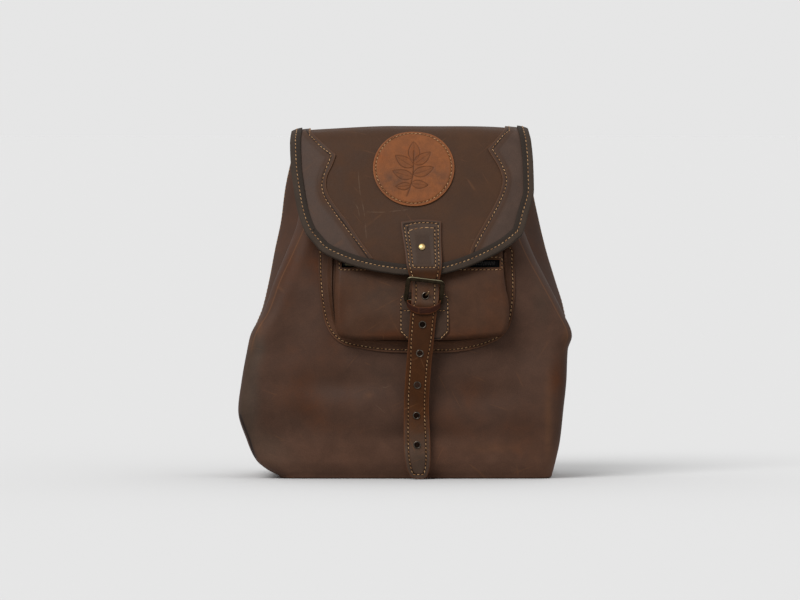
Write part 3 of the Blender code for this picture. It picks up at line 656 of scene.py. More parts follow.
# Inner edges of the two overlays, below and above their pointed tips
OVERLAY_LOW = {
    "left": Table(
        ("z", "x"),
        (
            (238.0, -33.0), (246.0, -38.8), (262.6, -50.8), (280.5, -62.7), (299.5, -77.1), (312.6, -84.8),
            (320.0, -86.8), (327.0, -86.6), (334.0, -84.8), (342.5, -80.6), (355.4, -76.0),
        ),
    ),
    "right": Table(
        ("z", "x"),
        (
            (238.0, 68.5), (246.0, 69.6), (253.0, 71.8), (278.0, 85.0), (300.0, 97.4), (316.0, 104.2),
            (327.0, 106.3), (335.0, 104.5), (342.0, 101.6), (352.0, 95.5), (360.8, 90.0),
        ),
    ),
}
OVERLAY_TIP_Z = {"left": 355.4, "right": 360.8}
OVERLAY_HIGH = {
    "left": Table(
        ("z", "x"), ((355.4, -76.0), (358.0, -79.2), (371.1, -92.6), (382.5, -103.3), (386.5, -105.0)),
    ),
    "right": Table(("z", "x"), ((360.8, 90.0), (364.0, 93.0), (372.0, 99.5), (383.5, 108.6), (386.5, 110.0))),
}
OVERLAY_SEAMS = {
    "left": (
        (
            (-104.0, 377.3), (-93.0, 365.5), (-81.0, 355.7),
        ),
        (
            (-81.0, 355.7), (-83.6, 347.9), (-88.0, 336.0), (-91.4, 321.2), (-89.9, 312.4), (-79.1, 293.7),
            (-63.4, 272.3), (-47.9, 253.6), (-41.8, 245.3),
        ),
    ),
    "right": (
        (
            (112.8, 381.0), (94.9, 361.0),
        ),
        (
            (94.9, 361.0), (106.2, 342.1), (110.6, 327.4), (108.4, 316.1), (101.8, 300.3), (89.3, 278.0),
            (75.9, 253.2),
        ),
    ),
}
OVERLAY_FOOT_Z = {"left": 241.0, "right": 243.5}
OVERLAY_TAIL = 22.0
OVERLAY_INSET = 4.5
OVERLAY_LEAST_WIDTH = 4.0
OVERLAY_LIFT = 0.45
OVERLAY_THICK = 1.2
BINDING_THICK = 0.9
BINDING_ROOM = 0.5
BINDING_WIDTH = 10.2
BINDING_SEAM = 4.9
BINDING_BEND = 1.5
BINDING_TOP = OVERLAY_LIFT + OVERLAY_THICK + 2.0 * BINDING_ROOM + BINDING_THICK

PATCH_X = 9.0
PATCH_Z = 339.7
PATCH_RADIUS = 44.5
PATCH_LIFT = 0.65
PATCH_THICK = 1.6
PATCH_SEAM = 3.0

# Pocket

POCKET_X = 17.5
POCKET_STITCH_INSET = 2.6
POCKET_SEAM_WIDTH = 8.0
POCKET_THICK = 1.8
POCKET_ROLL = 4.2
POCKET_ROLL_WIDTH = 6.0
POCKET_RING_INSET = 2.4
SEAM_ROOM = 0.9
WINDOW_LEFT = -70.0
WINDOW_RIGHT = 103.0
WINDOW_LOW_Z = 231.5
WINDOW_HIGH_Z = 240.5
WINDOW_SEAM = 2.3
ZIP_TAPE_THICK = 0.8
ZIP_TOOTH_PITCH = 1.9
ZIP_TOOTH = np.array((0.62, 0.9, 1.5))
ZIP_TEETH_BACK = 3.0
ZIP_ROW_UP = 1.05
ZIP_TAPE_BACK = 4.6
ZIP_RUNNER_X = -61.0

POCKET_FACE = Table(
    ("z", "y"),
    (
        (139.0, -100.0), (151.0, -100.0), (175.0, -98.3), (193.0, -95.4), (215.0, -91.6),
        (230.0, -87.5), (243.0, -83.0), (258.0, -78.0),
    ),
)

# Left and right edges of the pocket's face at each height
POCKET_LOW_Z = 152.7
POCKET_HIGH_Z = 251.0
POCKET_EDGES = Table(
    ("z", "left", "right"),
    (
        (POCKET_LOW_Z, -60.0, 96.0), (153.3, -67.5, 103.0), (154.8, -71.5, 106.3),
        (157.5, -74.0, 108.8), (161.7, -75.4, 111.0), (168.0, -76.4, 112.6), (176.0, -77.0, 113.4),
        (192.5, -77.5, 112.6), (200.0, -77.4, 111.4), (210.0, -77.0, 109.4), (220.0, -76.4, 108.0),
        (237.6, -75.2, 106.6), (POCKET_HIGH_Z, -74.4, 106.0),
    ),
)

# Row of stitches that holds the pocket's flange to the body, from the top's middle and round
POCKET_SEAM = (
    (17.5, 256.5), (-40.0, 256.5), (-84.0, 256.0), (-91.8, 252.0), (-92.4, 240.0), (-91.3, 206.8),
    (-88.6, 187.0),
    (-84.2, 169.4), (-77.6, 158.4), (-67.7, 150.7), (-48.3, 145.9), (-25.9, 142.6), (0.1, 141.4),
    (27.0, 141.3),
    (53.4, 142.1), (72.7, 145.2), (90.5, 150.7), (101.5, 156.2), (108.6, 164.0), (113.1, 173.8),
    (115.5, 187.0),
    (117.2, 211.2), (116.2, 236.0), (115.2, 251.0), (108.0, 256.0), (62.0, 256.5), (17.5, 256.5),
)
POCKET_SEAM_CORNERS = ((-91.8, 252.0), (-74.0, 154.6), (104.0, 158.6), (115.2, 251.0))
POCKET_FACE_CORNERS = ((-74.4, 251.0), (-72.5, 156.5), (107.5, 159.0), (106.0, 251.0))
RING_COUNTS = (46, 92, 120, 92, 46)

# Cross-section of the bellows, from the face back to the flange
BELLOWS = Table(
    ("fold", "share", "back"),
    (
        (0.0, 0.0, 0.05), (0.18, 0.28, 0.56), (0.30, 0.38, 0.60), (0.50, 0.52, 0.42),
        (0.66, 0.68, 0.66), (0.84, 0.90, 0.99), (1.0, 1.0, 1.0),
    ),
)

# Warm and grey areas of the pocket's face
POCKET_TONES = (
    (-70.0, 190.0, 8.0, 40.0, 0.5),
    (-20.0, 159.0, 34.0, 7.0, 0.8),
    (100.0, 190.0, 18.0, 42.0, 0.45),
    (62.0, 158.0, 34.0, 10.0, 0.6),
    (-26.0, 200.0, 26.0, 24.0, -0.4),
    (56.0, 204.0, 18.0, 20.0, -0.25),
)


def pocket_rise(x, z):
    """How far the lower edge of the pocket's face rises towards its two corners."""
    ends = 3.4 * smooth(x, 50.0, 104.0) + 1.6 * smooth(-np.asarray(x), 50.0, 72.0)
    return ends * (1.0 - smooth(z, 160.0, 190.0))


def pocket_outline():
    """The face's outline, from the middle of the top, round by the left."""
    heights = np.concatenate((
        np.linspace(POCKET_HIGH_Z, 162.0, 60), np.linspace(162.0, 153.3, 24)[1:], [153.0, POCKET_LOW_Z],
    ))
    left = np.column_stack((POCKET_EDGES.read("left", heights), heights))
    right = np.column_stack((POCKET_EDGES.read("right", heights), heights))[::-1]
    low = straight(left[-1], right[0], 2.0)[1:-1]
    top = (POCKET_X, POCKET_HIGH_Z)
    route = np.vstack((straight(top, left[0], 2.0), left[1:], low, right, straight(right[-1], top, 2.0)[1:]))
    route[:, 1] += pocket_rise(route[:, 0], route[:, 1])
    return route


def pocket_depth_in(x, z):
    """Distance in from the edges of the pocket's face that roll back: its sides and its foot."""
    route = pocket_outline()
    near = route[(route[:, 1] < POCKET_HIGH_Z - 0.1)][::2]
    return distance_to_routes(np.stack((x, z), axis=-1), [near])


def ring_between(route, corners):
    """A closed route cut at its corners and read again with a set number of points in each piece."""
    cuts = [0]
    for corner in corners:
        cuts.append(int(np.argmin(np.linalg.norm(route - np.array(corner), axis=1))))
    cuts.append(len(route) - 1)
    points = []
    for start, end, count in zip(cuts[:-1], cuts[1:], RING_COUNTS):
        piece = route[start:end + 1]
        run = distances(piece)
        points.append(read_along(np.linspace(0.0, run[-1], count + 1)[:-1], run, piece))
    return np.vstack(points)


def moved_out(ring, distance):
    """A closed ring moved out by a distance, in its own plane."""
    ahead = np.roll(ring, -2, axis=0) - np.roll(ring, 2, axis=0)
    return ring + unit(np.column_stack((ahead[:, 1], -ahead[:, 0]))) * distance


def pocket_surface(x, z):
    """Points of the pocket's face, a soft pillow whose edges roll back."""
    x, z = both(x, z)
    inside = pocket_depth_in(x, z)
    roll = POCKET_ROLL * np.clip(1.0 - inside / POCKET_ROLL_WIDTH, 0.0, 1.0) ** 2.2
    roll = roll * (1.0 - 0.6 * smooth(z, 222.0, 236.0))
    pillow = -1.4 * smooth(inside, 0.0, 34.0)
    soft = waves(x, z, 37, (70.0, 44.0)) * 0.6 * smooth(inside, 2.0, 14.0)
    return np.stack((x, POCKET_FACE.read("y", z) + roll + pillow + soft, z), axis=-1)


# Closing strap

STRAP = Table(
    ("z", "x", "y", "half_width"),
    (
        (0.8, 14.6, -88.0, 4.0),
        (2.2, 14.5, -88.1, 8.0),
        (6.0, 14.2, -88.4, 10.2),
        (11.0, 13.9, -89.0, 12.2),
        (17.0, 13.6, -89.8, 13.3),
        (27.0, 13.1, -91.2, 14.2),
        (40.0, 12.6, -93.0, 14.4),
        (80.0, 11.9, -99.0, 13.6),
        (120.0, 14.0, -104.6, 13.6),
        (151.0, 16.8, -106.6, 13.9),
        (184.0, 19.8, -106.6, 14.3),
        (194.0, 21.0, -105.8, 14.6),
        (201.0, 21.6, -104.9, 14.8),
        (210.0, 21.8, -105.0, 15.0),
        (217.0, 21.6, -105.8, 15.2),
        (222.0, 21.2, -106.6, 16.6),
        (228.0, 20.8, -106.6, 18.0),
        (236.0, 20.4, -105.2, 19.4),
        (247.0, 19.6, -99.2, 19.8),
        (262.0, 18.3, -92.8, 20.7),
        (279.0, 17.1, -86.5, 21.9),
        (284.5, 16.9, -84.4, 22.1),
    ),
)
STRAP_THICK = 2.4
STRAP_LOW_Z = 0.8
STRAP_TOP_Z = 284.0
STRAP_ARCH_FROM_Z = 250.0
STRAP_SEAM = 3.3
STRAP_SECOND_SEAM = 6.9
TAB_SEAM_Z = 232.0
TAB_SEAM_HALF = 12.5
TAB_TOP_ROW = ((-0.6, 276.8), (8.0, 279.4), (20.0, 280.6), (35.6, 279.6))
TAB_SECOND_TOP_ROW = ((3.2, 271.6), (12.0, 274.0), (22.0, 275.2), (32.0, 274.6))

# Rows of stitches along the strap's edges: distance in, height of the lower end and of the upper end
STRAP_ROWS_LEFT = (
    (STRAP_SEAM, 10.7, 188.0), (STRAP_SEAM, 188.0, 214.5), (STRAP_SEAM, 221.0, 277.0),
    (STRAP_SECOND_SEAM, TAB_SEAM_Z, 272.5),
)
STRAP_ROWS_RIGHT = (
    (STRAP_SEAM, 10.7, 189.0), (STRAP_SEAM, 188.0, 214.5), (STRAP_SEAM, 221.0, 279.5),
    (STRAP_SECOND_SEAM, TAB_SEAM_Z, 274.5),
)

EYELETS_Z = (201.0, 169.8, 138.5, 103.8, 70.5, 38.3)
EYELET_HOLE = 3.0
EYELET_BARREL = 3.25
EYELET_FLANGE = 4.1
EYELET_CUT = 0.5
EYELET_RIM = 0.8
RIVET_X = 17.9
RIVET_Z = 254.0
RIVET_RADIUS = 3.7

BUCKLE_X = 20.5
BUCKLE_TOP_Z = 218.0
BUCKLE_LOW_Z = 193.5
BUCKLE_TOP_Y = -109.2
BUCKLE_LOW_Y = -100.4
BUCKLE_WIDTH = 38.0
BUCKLE_BAR = 2.35
BUCKLE_SIDE_BAR = 2.45
BUCKLE_DEPTH = 1.35
BUCKLE_TURN = math.radians(7.0)
BUCKLE_CORNER = 3.4
# Colour of the painted highlight on the buckle's upward faces
TOP_HIGHLIGHT_BRASS = (0.30, 0.27, 0.17)
TONGUE_BRONZE = (0.17, 0.108, 0.058)
TONGUE_RADIUS = 1.6
TONGUE_ROUTE = (
    (21.2, -99.6, 197.3), (21.4, -99.9, 199.3), (21.8, -102.0, 201.0), (22.4, -106.2, 201.8),
    (24.2, -109.0, 203.8), (25.9, -110.2, 206.4),
)
KEEPER_X = 20.0
KEEPER_Z = 186.0
KEEPER_HEIGHT = 7.8
KEEPER_WIDTH = 37.0
KEEPER_BACK_Y = -100.7
KEEPER_FRONT_Y = -108.7
KEEPER_THICK = 1.5
KEEPER_RISE = 7.4
CHAPE_X = 20.6
CHAPE_CORNER_Z = (153.0, 162.5, 198.5, 205.5)
CHAPE_CORNER_HALF = (18.0, 27.0, 27.0, 21.5)
CHAPE_THICK = 1.8
CHAPE_SEAM = 1.5
CHAPE_ROW_Z = 184.8
CHAPE_ROW_REACH = (15.5, 23.0)


def strap_surface(x, z):
    """Points of the strap's face, crowned a little across its width."""
    x, z = both(x, z)
    half = STRAP.read("half_width", z)
    off = np.clip(np.abs(x - STRAP.read("x", z)) / half, 0.0, 1.0)
    return np.stack((x, STRAP.read("y", z) + 0.5 * off ** 6, z), axis=-1)


def chape_surface(x, z):
    x, z = both(x, z)
    y = POCKET_FACE.read("y", z) - 2.0 * GAP - CHAPE_THICK
    return np.stack((x, y, z), axis=-1)


# Carrying straps behind

ANCHOR_LOW_Z = 258.0
ANCHOR_HIGH_Z = 308.0
ANCHOR_HALF_WIDTH = 46.0
SHOULDER_WIDTH = 38.0
SHOULDER_THICK = 3.0
SHOULDER_TOP_X = 22.0
SHOULDER_TOP_Z = 303.0
SHOULDER_LEAN = math.radians(23.4)
CARRYING_SEAM = 3.5
BACK_PATCH_LIFT = 2.6
TAB_HALF_WIDTH = 24.0
TAB_LOW_Z = 30.0
TAB_HIGH_Z = 70.0
TAB_X = 130.0
SHOULDER = Table(
    ("step", "down", "out"),
    (
        (0.0, 0.0, 6.8), (0.075, 30.0, 7.6), (0.165, 62.0, 27.0), (0.31, 108.0, 62.0),
        (0.455, 160.0, 90.0), (0.59, 212.0, 104.0), (0.70, 258.0, 98.0), (0.81, 291.0, 68.0),
        (0.89, 302.0, 36.0), (0.955, 292.0, 11.0), (1.0, 274.0, 5.6),
    ),
)


# Meshes

def clear_piece(name):
    """Take away an earlier build of a piece, so that its operator can be run again."""
    old = bpy.data.objects.get(name)
    if old is not None:
        bpy.data.objects.remove(old, do_unlink=True)


def place_piece(name, data, material, stands_for=()):
    """Put new data in the scene as a named piece that rides on the rucksack."""
    clear_piece(name)
    piece = bpy.data.objects.new(name, data)
    bpy.context.scene.collection.objects.link(piece)
    data.materials.append(material)
    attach(piece, BODY_NAME)
    if stands_for:
        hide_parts(*stands_for)
    return piece


def set_mark(mesh, name, values):
    """Keep a named value at each point of a mesh."""
    layer = mesh.attributes.new(name, "FLOAT", "POINT")
    layer.data.foreach_set("value", np.ascontiguousarray(values, dtype=np.float32))


def rework(mesh, change):
    """Change a mesh in its editable form."""
    work = bmesh.new()
    work.from_mesh(mesh)
    change(work)
    work.to_mesh(mesh)
    work.free()


def grid_mesh(name, points, marks=None, closed=False, keep=None, weld=False):
    """A sheet of quads through a grid of points in millimetres, with named values at each point."""
    rows, columns = points.shape[:2]
    order = np.arange(rows * columns).reshape(rows, columns)
    if closed:
        order = np.column_stack((order, order[:, 0]))
    faces = np.stack((order[:-1, :-1], order[:-1, 1:], order[1:, 1:], order[1:, :-1]), axis=-1)
    faces = faces[keep] if keep is not None else faces.reshape(-1, 4)
    used, faces = np.unique(faces, return_inverse=True)
    mesh = bpy.data.meshes.new(name)
    flat = points.reshape(-1, 3)[used] * MM
    mesh.from_pydata(flat.tolist(), [], faces.reshape(-1, 4).tolist())
    values = {"rim": np.full((rows, columns), FAR_FROM_EDGE)}
    values.update(marks or {})
    for mark, array in values.items():
        set_mark(mesh, mark, np.broadcast_to(array, (rows, columns)).reshape(-1)[used])
    if weld:
        rework(mesh, lambda work: bmesh.ops.remove_doubles(work, verts=work.verts, dist=0.000001))
    mesh.shade_smooth()
    return mesh


def thicken(piece, thickness, side=-1.0, edge=0.0004):
    """Give a sheet its thickness, in metres, and soft cut edges."""
    leather_side = piece.modifiers.new("Thickness", "SOLIDIFY")
    leather_side.thickness = thickness
    leather_side.offset = side
    if edge > 0.0:
        soften(piece, edge)


def soften(piece, width, segments=2, least_angle=50.0, harden=True):
    """Round the cut edges of a piece, by a width in metres."""
    cut = piece.modifiers.new("Soft edges", "BEVEL")
    cut.width = width
    cut.segments = segments
    cut.limit_method = "ANGLE"
    cut.angle_limit = math.radians(least_angle)
    cut.harden_normals = harden


def face_front(work):
    """Turn all faces of a sheet that hangs in front of the body so that its outer side faces the front."""
    bmesh.ops.recalc_face_normals(work, faces=work.faces)
    flattest = max(work.faces, key=lambda face: abs(face.normal.y) * face.calc_area())
    if flattest.normal.y > 0.0:
        bmesh.ops.reverse_faces(work, faces=work.faces)


def close_ends(work):
    """Fill the two open ends of a bar, and turn all its faces out."""
    bmesh.ops.holes_fill(work, edges=[edge for edge in work.edges if edge.is_boundary], sides=0)
    bmesh.ops.recalc_face_normals(work, faces=work.faces)


def distance_to_routes(points, routes):
    """Least distance from each point, in a plane, to a set of polylines."""
    best = np.full(points.shape[:-1], FAR_FROM_EDGE)
    for route in routes:
        for start, end in zip(route[:-1], route[1:]):
            along = end - start
            f = np.clip(((points - start) @ along) / (along @ along), 0.0, 1.0)
            best = np.minimum(best, np.linalg.norm(points - (start + f[..., None] * along), axis=-1))
    return best


def flowing(points, step=1.5):
    """A smooth dense polyline through a few points of a plane."""
    points = np.array(points, dtype=float)
    chord = distances(points)
    slope = np.gradient(points, chord, axis=0) if len(points) > 2 else None
    at = np.linspace(0.0, chord[-1], max(2, int(chord[-1] / step)))
    if slope is None:
        return read_along(at, chord, points)
    i = np.clip(np.searchsorted(chord, at, side="right") - 1, 0, len(chord) - 2)
    width = (chord[i + 1] - chord[i])[:, None]
    f = (at - chord[i])[:, None] / width
    return between(f, width, points[i], points[i + 1], slope[i], slope[i + 1])


def straight(start, end, step=1.5):
    """A dense straight line between two points of a plane."""
    start = np.array(start, dtype=float)
    end = np.array(end, dtype=float)
    count = max(2, int(np.linalg.norm(end - start) / step))
    return lerp(start, end, np.linspace(0.0, 1.0, count)[:, None])


def laid_on(surface, route, lift, outward=1.0):
    """Points and normals of a plane route laid on a surface, at a height over it."""
    a = route[:, 0]
    b = route[:, 1]
    step = 0.6
    across = surface(a + step, b) - surface(a - step, b)
    along = surface(a, b + step) - surface(a, b - step)
    normal = unit(np.cross(across, along) * outward)
    return surface(a, b) + normal * lift, normal


STITCH_RINGS = 6
STITCH_SIDES = 8
STITCH_DIP = 0.42
STITCH_TILT = math.radians(7.0)


def stitch_shape():
    """One stitch of unit half length, width and height along +X: its points and its faces."""
    turn = np.linspace(0.0, math.pi, STITCH_RINGS + 1)[1:-1]
    round_way = np.linspace(0.0, 2.0 * math.pi, STITCH_SIDES, endpoint=False)
    x = np.repeat(-np.cos(turn), STITCH_SIDES)
    radius = np.repeat(np.sin(turn) ** 0.55, STITCH_SIDES)
    y = radius * np.tile(np.cos(round_way), len(turn))
    z = radius * np.tile(np.sin(round_way), len(turn))
    points = np.vstack((np.column_stack((x, y, z)), ((-1.0, 0.0, 0.0), (1.0, 0.0, 0.0))))
    faces = []
    for ring in range(len(turn) - 1):
        for k in range(STITCH_SIDES):
            j = (k + 1) % STITCH_SIDES
            a = ring * STITCH_SIDES
            b = a + STITCH_SIDES
            faces.append((a + k, a + j, b + j, b + k))
    last = (len(turn) - 1) * STITCH_SIDES
    for k in range(STITCH_SIDES):
        j = (k + 1) % STITCH_SIDES
        faces.append((len(points) - 2, j, k))
        faces.append((len(points) - 1, last + k, last + j))
    return points, faces


def mesh_of_copies(name, points, shape_size, shape_faces):
    """One mesh of many copies of a small shape, from all their points in millimetres."""
    faces = []
    for first in range(0, len(points), shape_size):
        faces.extend(tuple(first + corner for corner in face) for face in shape_faces)
    mesh = bpy.data.meshes.new(name)
    mesh.from_pydata((points * MM).tolist(), [], faces)
    mesh.shade_smooth()
    return mesh


def sew(name, laid_routes, seed, bigger=1.0, longer=1.0, pitch=None):
    """Rows of stitches along routes of points and normals, joined in one piece."""
    shape, shape_faces = stitch_shape()
    source = np.random.default_rng(seed)
    pitch = pitch or sizes().stitch_pitch / MM
    half_length = 0.5 * sizes().stitch_length / MM * longer
    half_width = 0.5 * sizes().stitch_width / MM * bigger
    all_points = []
    shades = []
    for points, normals in laid_routes:
        run = distances(points)
        count = max(1, int(round(run[-1] / pitch)))
        at = (np.arange(count) + 0.5) * run[-1] / count
        centre = read_along(at, run, points)
        out = unit(read_along(at, run, normals))
        ahead = unit(read_along(at + 0.8, run, points) - read_along(at - 0.8, run, points))
        side = np.cross(out, ahead)
        tilt = STITCH_TILT + source.normal(0.0, math.radians(2.5), count)
        way = ahead * np.cos(tilt)[:, None] + side * np.sin(tilt)[:, None]
        side = np.cross(out, way)
        length = half_length * source.uniform(0.92, 1.06, count)[:, None, None]
        width = half_width * source.uniform(0.92, 1.08, count)[:, None, None]
        x, y, z = (shape[None, :, k, None] for k in range(3))
        placed = centre[:, None] + way[:, None] * x * length + side[:, None] * y * width
        placed = placed + out[:, None] * (z * width * 0.8 - STITCH_DIP * bigger * x * x)
        all_points.append(placed.reshape(-1, 3))
        shades.append(np.repeat(source.uniform(0.0, 1.0, count), len(shape)))
    mesh = mesh_of_copies(name, np.vstack(all_points), len(shape), shape_faces)
    set_mark(mesh, "shade", np.concatenate(shades))
    place_piece(name, mesh, thread_material())


def turned_mesh(name, profile, segments, closed):
    """A turned piece about +Z from a profile of radius and height, run top to bottom on its outer side."""
    points = np.array(profile, dtype=float)
    if closed:
        points = np.vstack((points, points[:1]))
    turn = np.linspace(0.0, 2.0 * math.pi, segments, endpoint=False)
    x = points[:, 0, None] * np.cos(turn)
    y = points[:, 0, None] * np.sin(turn)
    z = np.broadcast_to(points[:, 1, None], x.shape)
    grid = np.stack((x, y, z), axis=-1)[:, ::-1]
    return grid_mesh(name, grid, closed=True, weld=True)


def stand_on(mesh, point, normal, lift):
    """Turn a mesh made about +Z to stand on a face."""
    turn = Vector((0.0, 0.0, 1.0)).rotation_difference(Vector(normal)).to_matrix().to_4x4()
    mesh.transform(turn)
    place = (Vector(point) + Vector(normal) * lift) * MM
    for vertex in mesh.vertices:
        vertex.co += place
    mesh.update()


# Greyer and paler stretches of the strap: how much, the height where it starts, and where it is full
STRAP_GREYER = ((0.1, 226.0, 170.0), (1.1, 222.0, 240.0), (0.8, 100.0, 15.0))
STRAP_PALER = ((0.25, 150.0, 110.0), (0.3, 95.0, 60.0), (-0.5, 34.0, 12.0))


def ramps(z, rows):
    """Sum of changes that each come in evenly from one height to another."""
    return sum(amount * smooth(z, start, full) for amount, start, full in rows)


def sewn_farther_in(z):
    """How much farther from its edges the strap is sewn, inside the buckle and in its lower part."""
    in_buckle = 1.5 * smooth(z, 190.0, 196.0) * smooth(-z, -222.0, -214.0)
    return in_buckle + 1.5 * smooth(-z, -155.0, -125.0)


def strap_place(x, z):
    """Point and outward direction of the strap's face."""
    rise = STRAP.read("y", z + 3.0) - STRAP.read("y", z - 3.0)
    normal = Vector((0.0, -6.0, float(rise))).normalized()
    return Vector((float(x), float(STRAP.read("y", z)), float(z))), normal


def tube_mesh(name, points, wide, thick, sides, facing, closed=False, squareness=2.0):
    """A bar through points in millimetres, wide across and thick along the way that it faces."""
    points = np.array(points, dtype=float)
    if closed:
        ahead = np.roll(points, -1, axis=0) - np.roll(points, 1, axis=0)
    else:
        ahead = np.gradient(points, axis=0)
    ahead = unit(ahead)
    side = unit(np.cross(ahead, np.array(facing, dtype=float)))
    up = np.cross(side, ahead)
    turn = np.linspace(0.0, 2.0 * math.pi, sides, endpoint=False)[::-1]
    c, s = squared_round(turn, squareness)
    across = np.broadcast_to(wide, len(points))[:, None, None] * c[None, :, None]
    over = np.broadcast_to(thick, len(points))[:, None, None] * s[None, :, None]
    grid = points[:, None] + side[:, None] * across + up[:, None] * over
    if closed:
        grid = np.concatenate((grid, grid[:1]))
    return grid_mesh(name, grid, closed=True, weld=True)


# Shader building

def feed(tree, socket, value):
    """Join an input to another node's output, or set it to a value."""
    if isinstance(value, bpy.types.NodeSocket):
        tree.links.new(value, socket)
    else:
        socket.default_value = value


def join(tree, node, **inputs):
    """Feed a node's inputs, given by name."""
    for key, value in inputs.items():
        feed(tree, node.inputs[key.replace("_", " ")], value)


def add_node(tree, kind, inputs=None, **settings):
    """A shader node with its settings, and its inputs joined to sockets or set to values."""
    node = tree.nodes.new("ShaderNode" + kind)
    for key, value in settings.items():
        setattr(node, key, value)
    for key, value in (inputs or {}).items():
        feed(tree, node.inputs[key], value)
    return node


def calc(tree, operation, first, second=0.0, clamp=False):
    return add_node(tree, "Math", {0: first, 1: second}, operation=operation, use_clamp=clamp).outputs[0]


def plus(tree, first, second):
    return calc(tree, "ADD", first, second)


def minus(tree, first, second, clamp=False):
    return calc(tree, "SUBTRACT", first, second, clamp)


def times(tree, first, second, clamp=False):
    return calc(tree, "MULTIPLY", first, second, clamp)


def span(tree, value, low, high, to_low=0.0, to_high=1.0):
    """An even S from one value to another."""
    inputs = {"Value": value, "From Min": low, "From Max": high, "To Min": to_low, "To Max": to_high}
    return add_node(tree, "MapRange", inputs, interpolation_type="SMOOTHSTEP").outputs["Result"]


def mix(tree, factor, first, second, blend="MIX"):
    inputs = {0: factor, 6: first, 7: second}
    return add_node(tree, "Mix", inputs, data_type="RGBA", blend_type=blend).outputs[2]


def cloud(tree, place, scale, detail=3.0, roughness=0.5, distortion=0.0):
    inputs = {
        "Vector": place, "Scale": scale, "Detail": detail, "Roughness": roughness, "Distortion": distortion,
    }
    return add_node(tree, "TexNoise", inputs).outputs["Fac"]


def stretched(tree, place, scale, turn=(0.0, 0.0, 0.0)):
    inputs = {"Vector": place, "Scale": scale, "Rotation": turn}
    return add_node(tree, "Mapping", inputs).outputs["Vector"]


def object_place(tree):
    """Place on the piece itself, in metres."""
    return add_node(tree, "TexCoord").outputs["Object"]


def bumped(tree, height, distance, strength):
    """Normals of a face with these heights."""
    inputs = {"Strength": strength, "Distance": distance, "Height": height}
    return add_node(tree, "Bump", inputs).outputs["Normal"]


def mark(tree, name):
    """A named value that the mesh carries at each point."""
    return add_node(tree, "Attribute", attribute_name=name).outputs["Fac"]


def group(name, inputs, outputs, build):
    """A node group with named inputs and outputs, built once."""
    tree = bpy.data.node_groups.get(name)
    if tree is not None:
        return tree
    tree = bpy.data.node_groups.new(name, "ShaderNodeTree")
    for label, kind, value in inputs:
        socket = tree.interface.new_socket(name=label, in_out="INPUT", socket_type="NodeSocket" + kind)
        if value is not None:
            socket.default_value = value
    for label, kind in outputs:
        tree.interface.new_socket(name=label, in_out="OUTPUT", socket_type="NodeSocket" + kind)
    start = tree.nodes.new("NodeGroupInput").outputs
    end = tree.nodes.new("NodeGroupOutput").inputs
    for label, socket in build(tree, start).items():
        tree.links.new(socket, end[label])
    return tree


def use_group(tree, made, **inputs):
    node = tree.nodes.new("ShaderNodeGroup")
    node.node_tree = made
    join(tree, node, **inputs)
    return node.outputs


def mottling_group():
    """Cloudy changes of tone in waxed leather, from warm to grey."""

    def build(tree, given):
        place = given["Vector"]
        wide = cloud(tree, place, given["Scale"], 2.0, 0.5, 0.4)
        near = cloud(tree, place, times(tree, given["Scale"], 4.3), 3.0, 0.55, 0.3)
        fine = cloud(tree, place, 900.0, 3.0, 0.6)
        drift = plus(tree, times(tree, wide, 1.5), times(tree, near, 0.7))
        drift = minus(tree, drift, 1.1)
        lean = plus(tree, times(tree, drift, given["Amount"]), given["Tone"])
        warm = span(tree, lean, 0.05, 0.95)
        grey = span(tree, times(tree, lean, -1.0), 0.05, 0.95)
        colour = mix(tree, warm, given["Base"], given["Warm"])
        colour = mix(tree, grey, colour, given["Grey"])
        light = span(tree, near, 0.28, 0.78, 0.88, 1.13)
        speck = span(tree, fine, 0.30, 0.72, 0.92, 1.08)
        colour = mix(tree, 1.0, colour, add_grey(tree, times(tree, light, speck)), "MULTIPLY")
        return {"Color": colour, "Clouds": near}

    inputs = (
        ("Vector", "Vector", None), ("Base", "Color", (0.05, 0.03, 0.02, 1.0)),
        ("Warm", "Color", (0.06, 0.02, 0.01, 1.0)), ("Grey", "Color", (0.04, 0.03, 0.03, 1.0)),
        ("Tone", "Float", 0.0), ("Amount", "Float", 1.0), ("Scale", "Float", 14.0),
    )
    return group("Leather mottling", inputs, (("Color", "Color"), ("Clouds", "Float")), build)


def add_grey(tree, value):
    """A grey colour from a value."""
    return add_node(tree, "CombineColor", {0: value, 1: value, 2: value}).outputs[0]


def grain_group():
    """Pores and fine wrinkles of leather, as heights."""

    def build(tree, given):
        place = given["Vector"]
        cells = add_node(tree, "TexVoronoi", {"Vector": place, "Scale": given["Scale"]}, feature="SMOOTH_F1")
        pores = calc(tree, "POWER", cells.outputs["Distance"], 1.6)
        soft = cloud(tree, place, 260.0, 4.0, 0.62)
        wrinkle = cloud(tree, stretched(tree, place, (1.0, 1.0, 0.55)), 95.0, 3.0, 0.5, 1.2)
        height = plus(tree, times(tree, pores, -0.7), times(tree, soft, 1.3))
        height = plus(tree, height, times(tree, wrinkle, given["Wrinkles"]))
        return {"Height": height, "Pores": pores}

    inputs = (("Vector", "Vector", None), ("Scale", "Float", 720.0), ("Wrinkles", "Float", 1.0))
    return group("Leather grain", inputs, (("Height", "Float"), ("Pores", "Float")), build)


def cloud_shift(tree, place, scale, amount):
    """A place moved about a little by soft noise."""
    noise = add_node(tree, "TexNoise", {"Vector": place, "Scale": scale, "Detail": 1.0}).outputs["Color"]
    moved = add_node(tree, "VectorMath", {0: noise, 3: amount}, operation="SCALE").outputs[0]
    return add_node(tree, "VectorMath", {0: place, 1: moved}, operation="ADD").outputs[0]


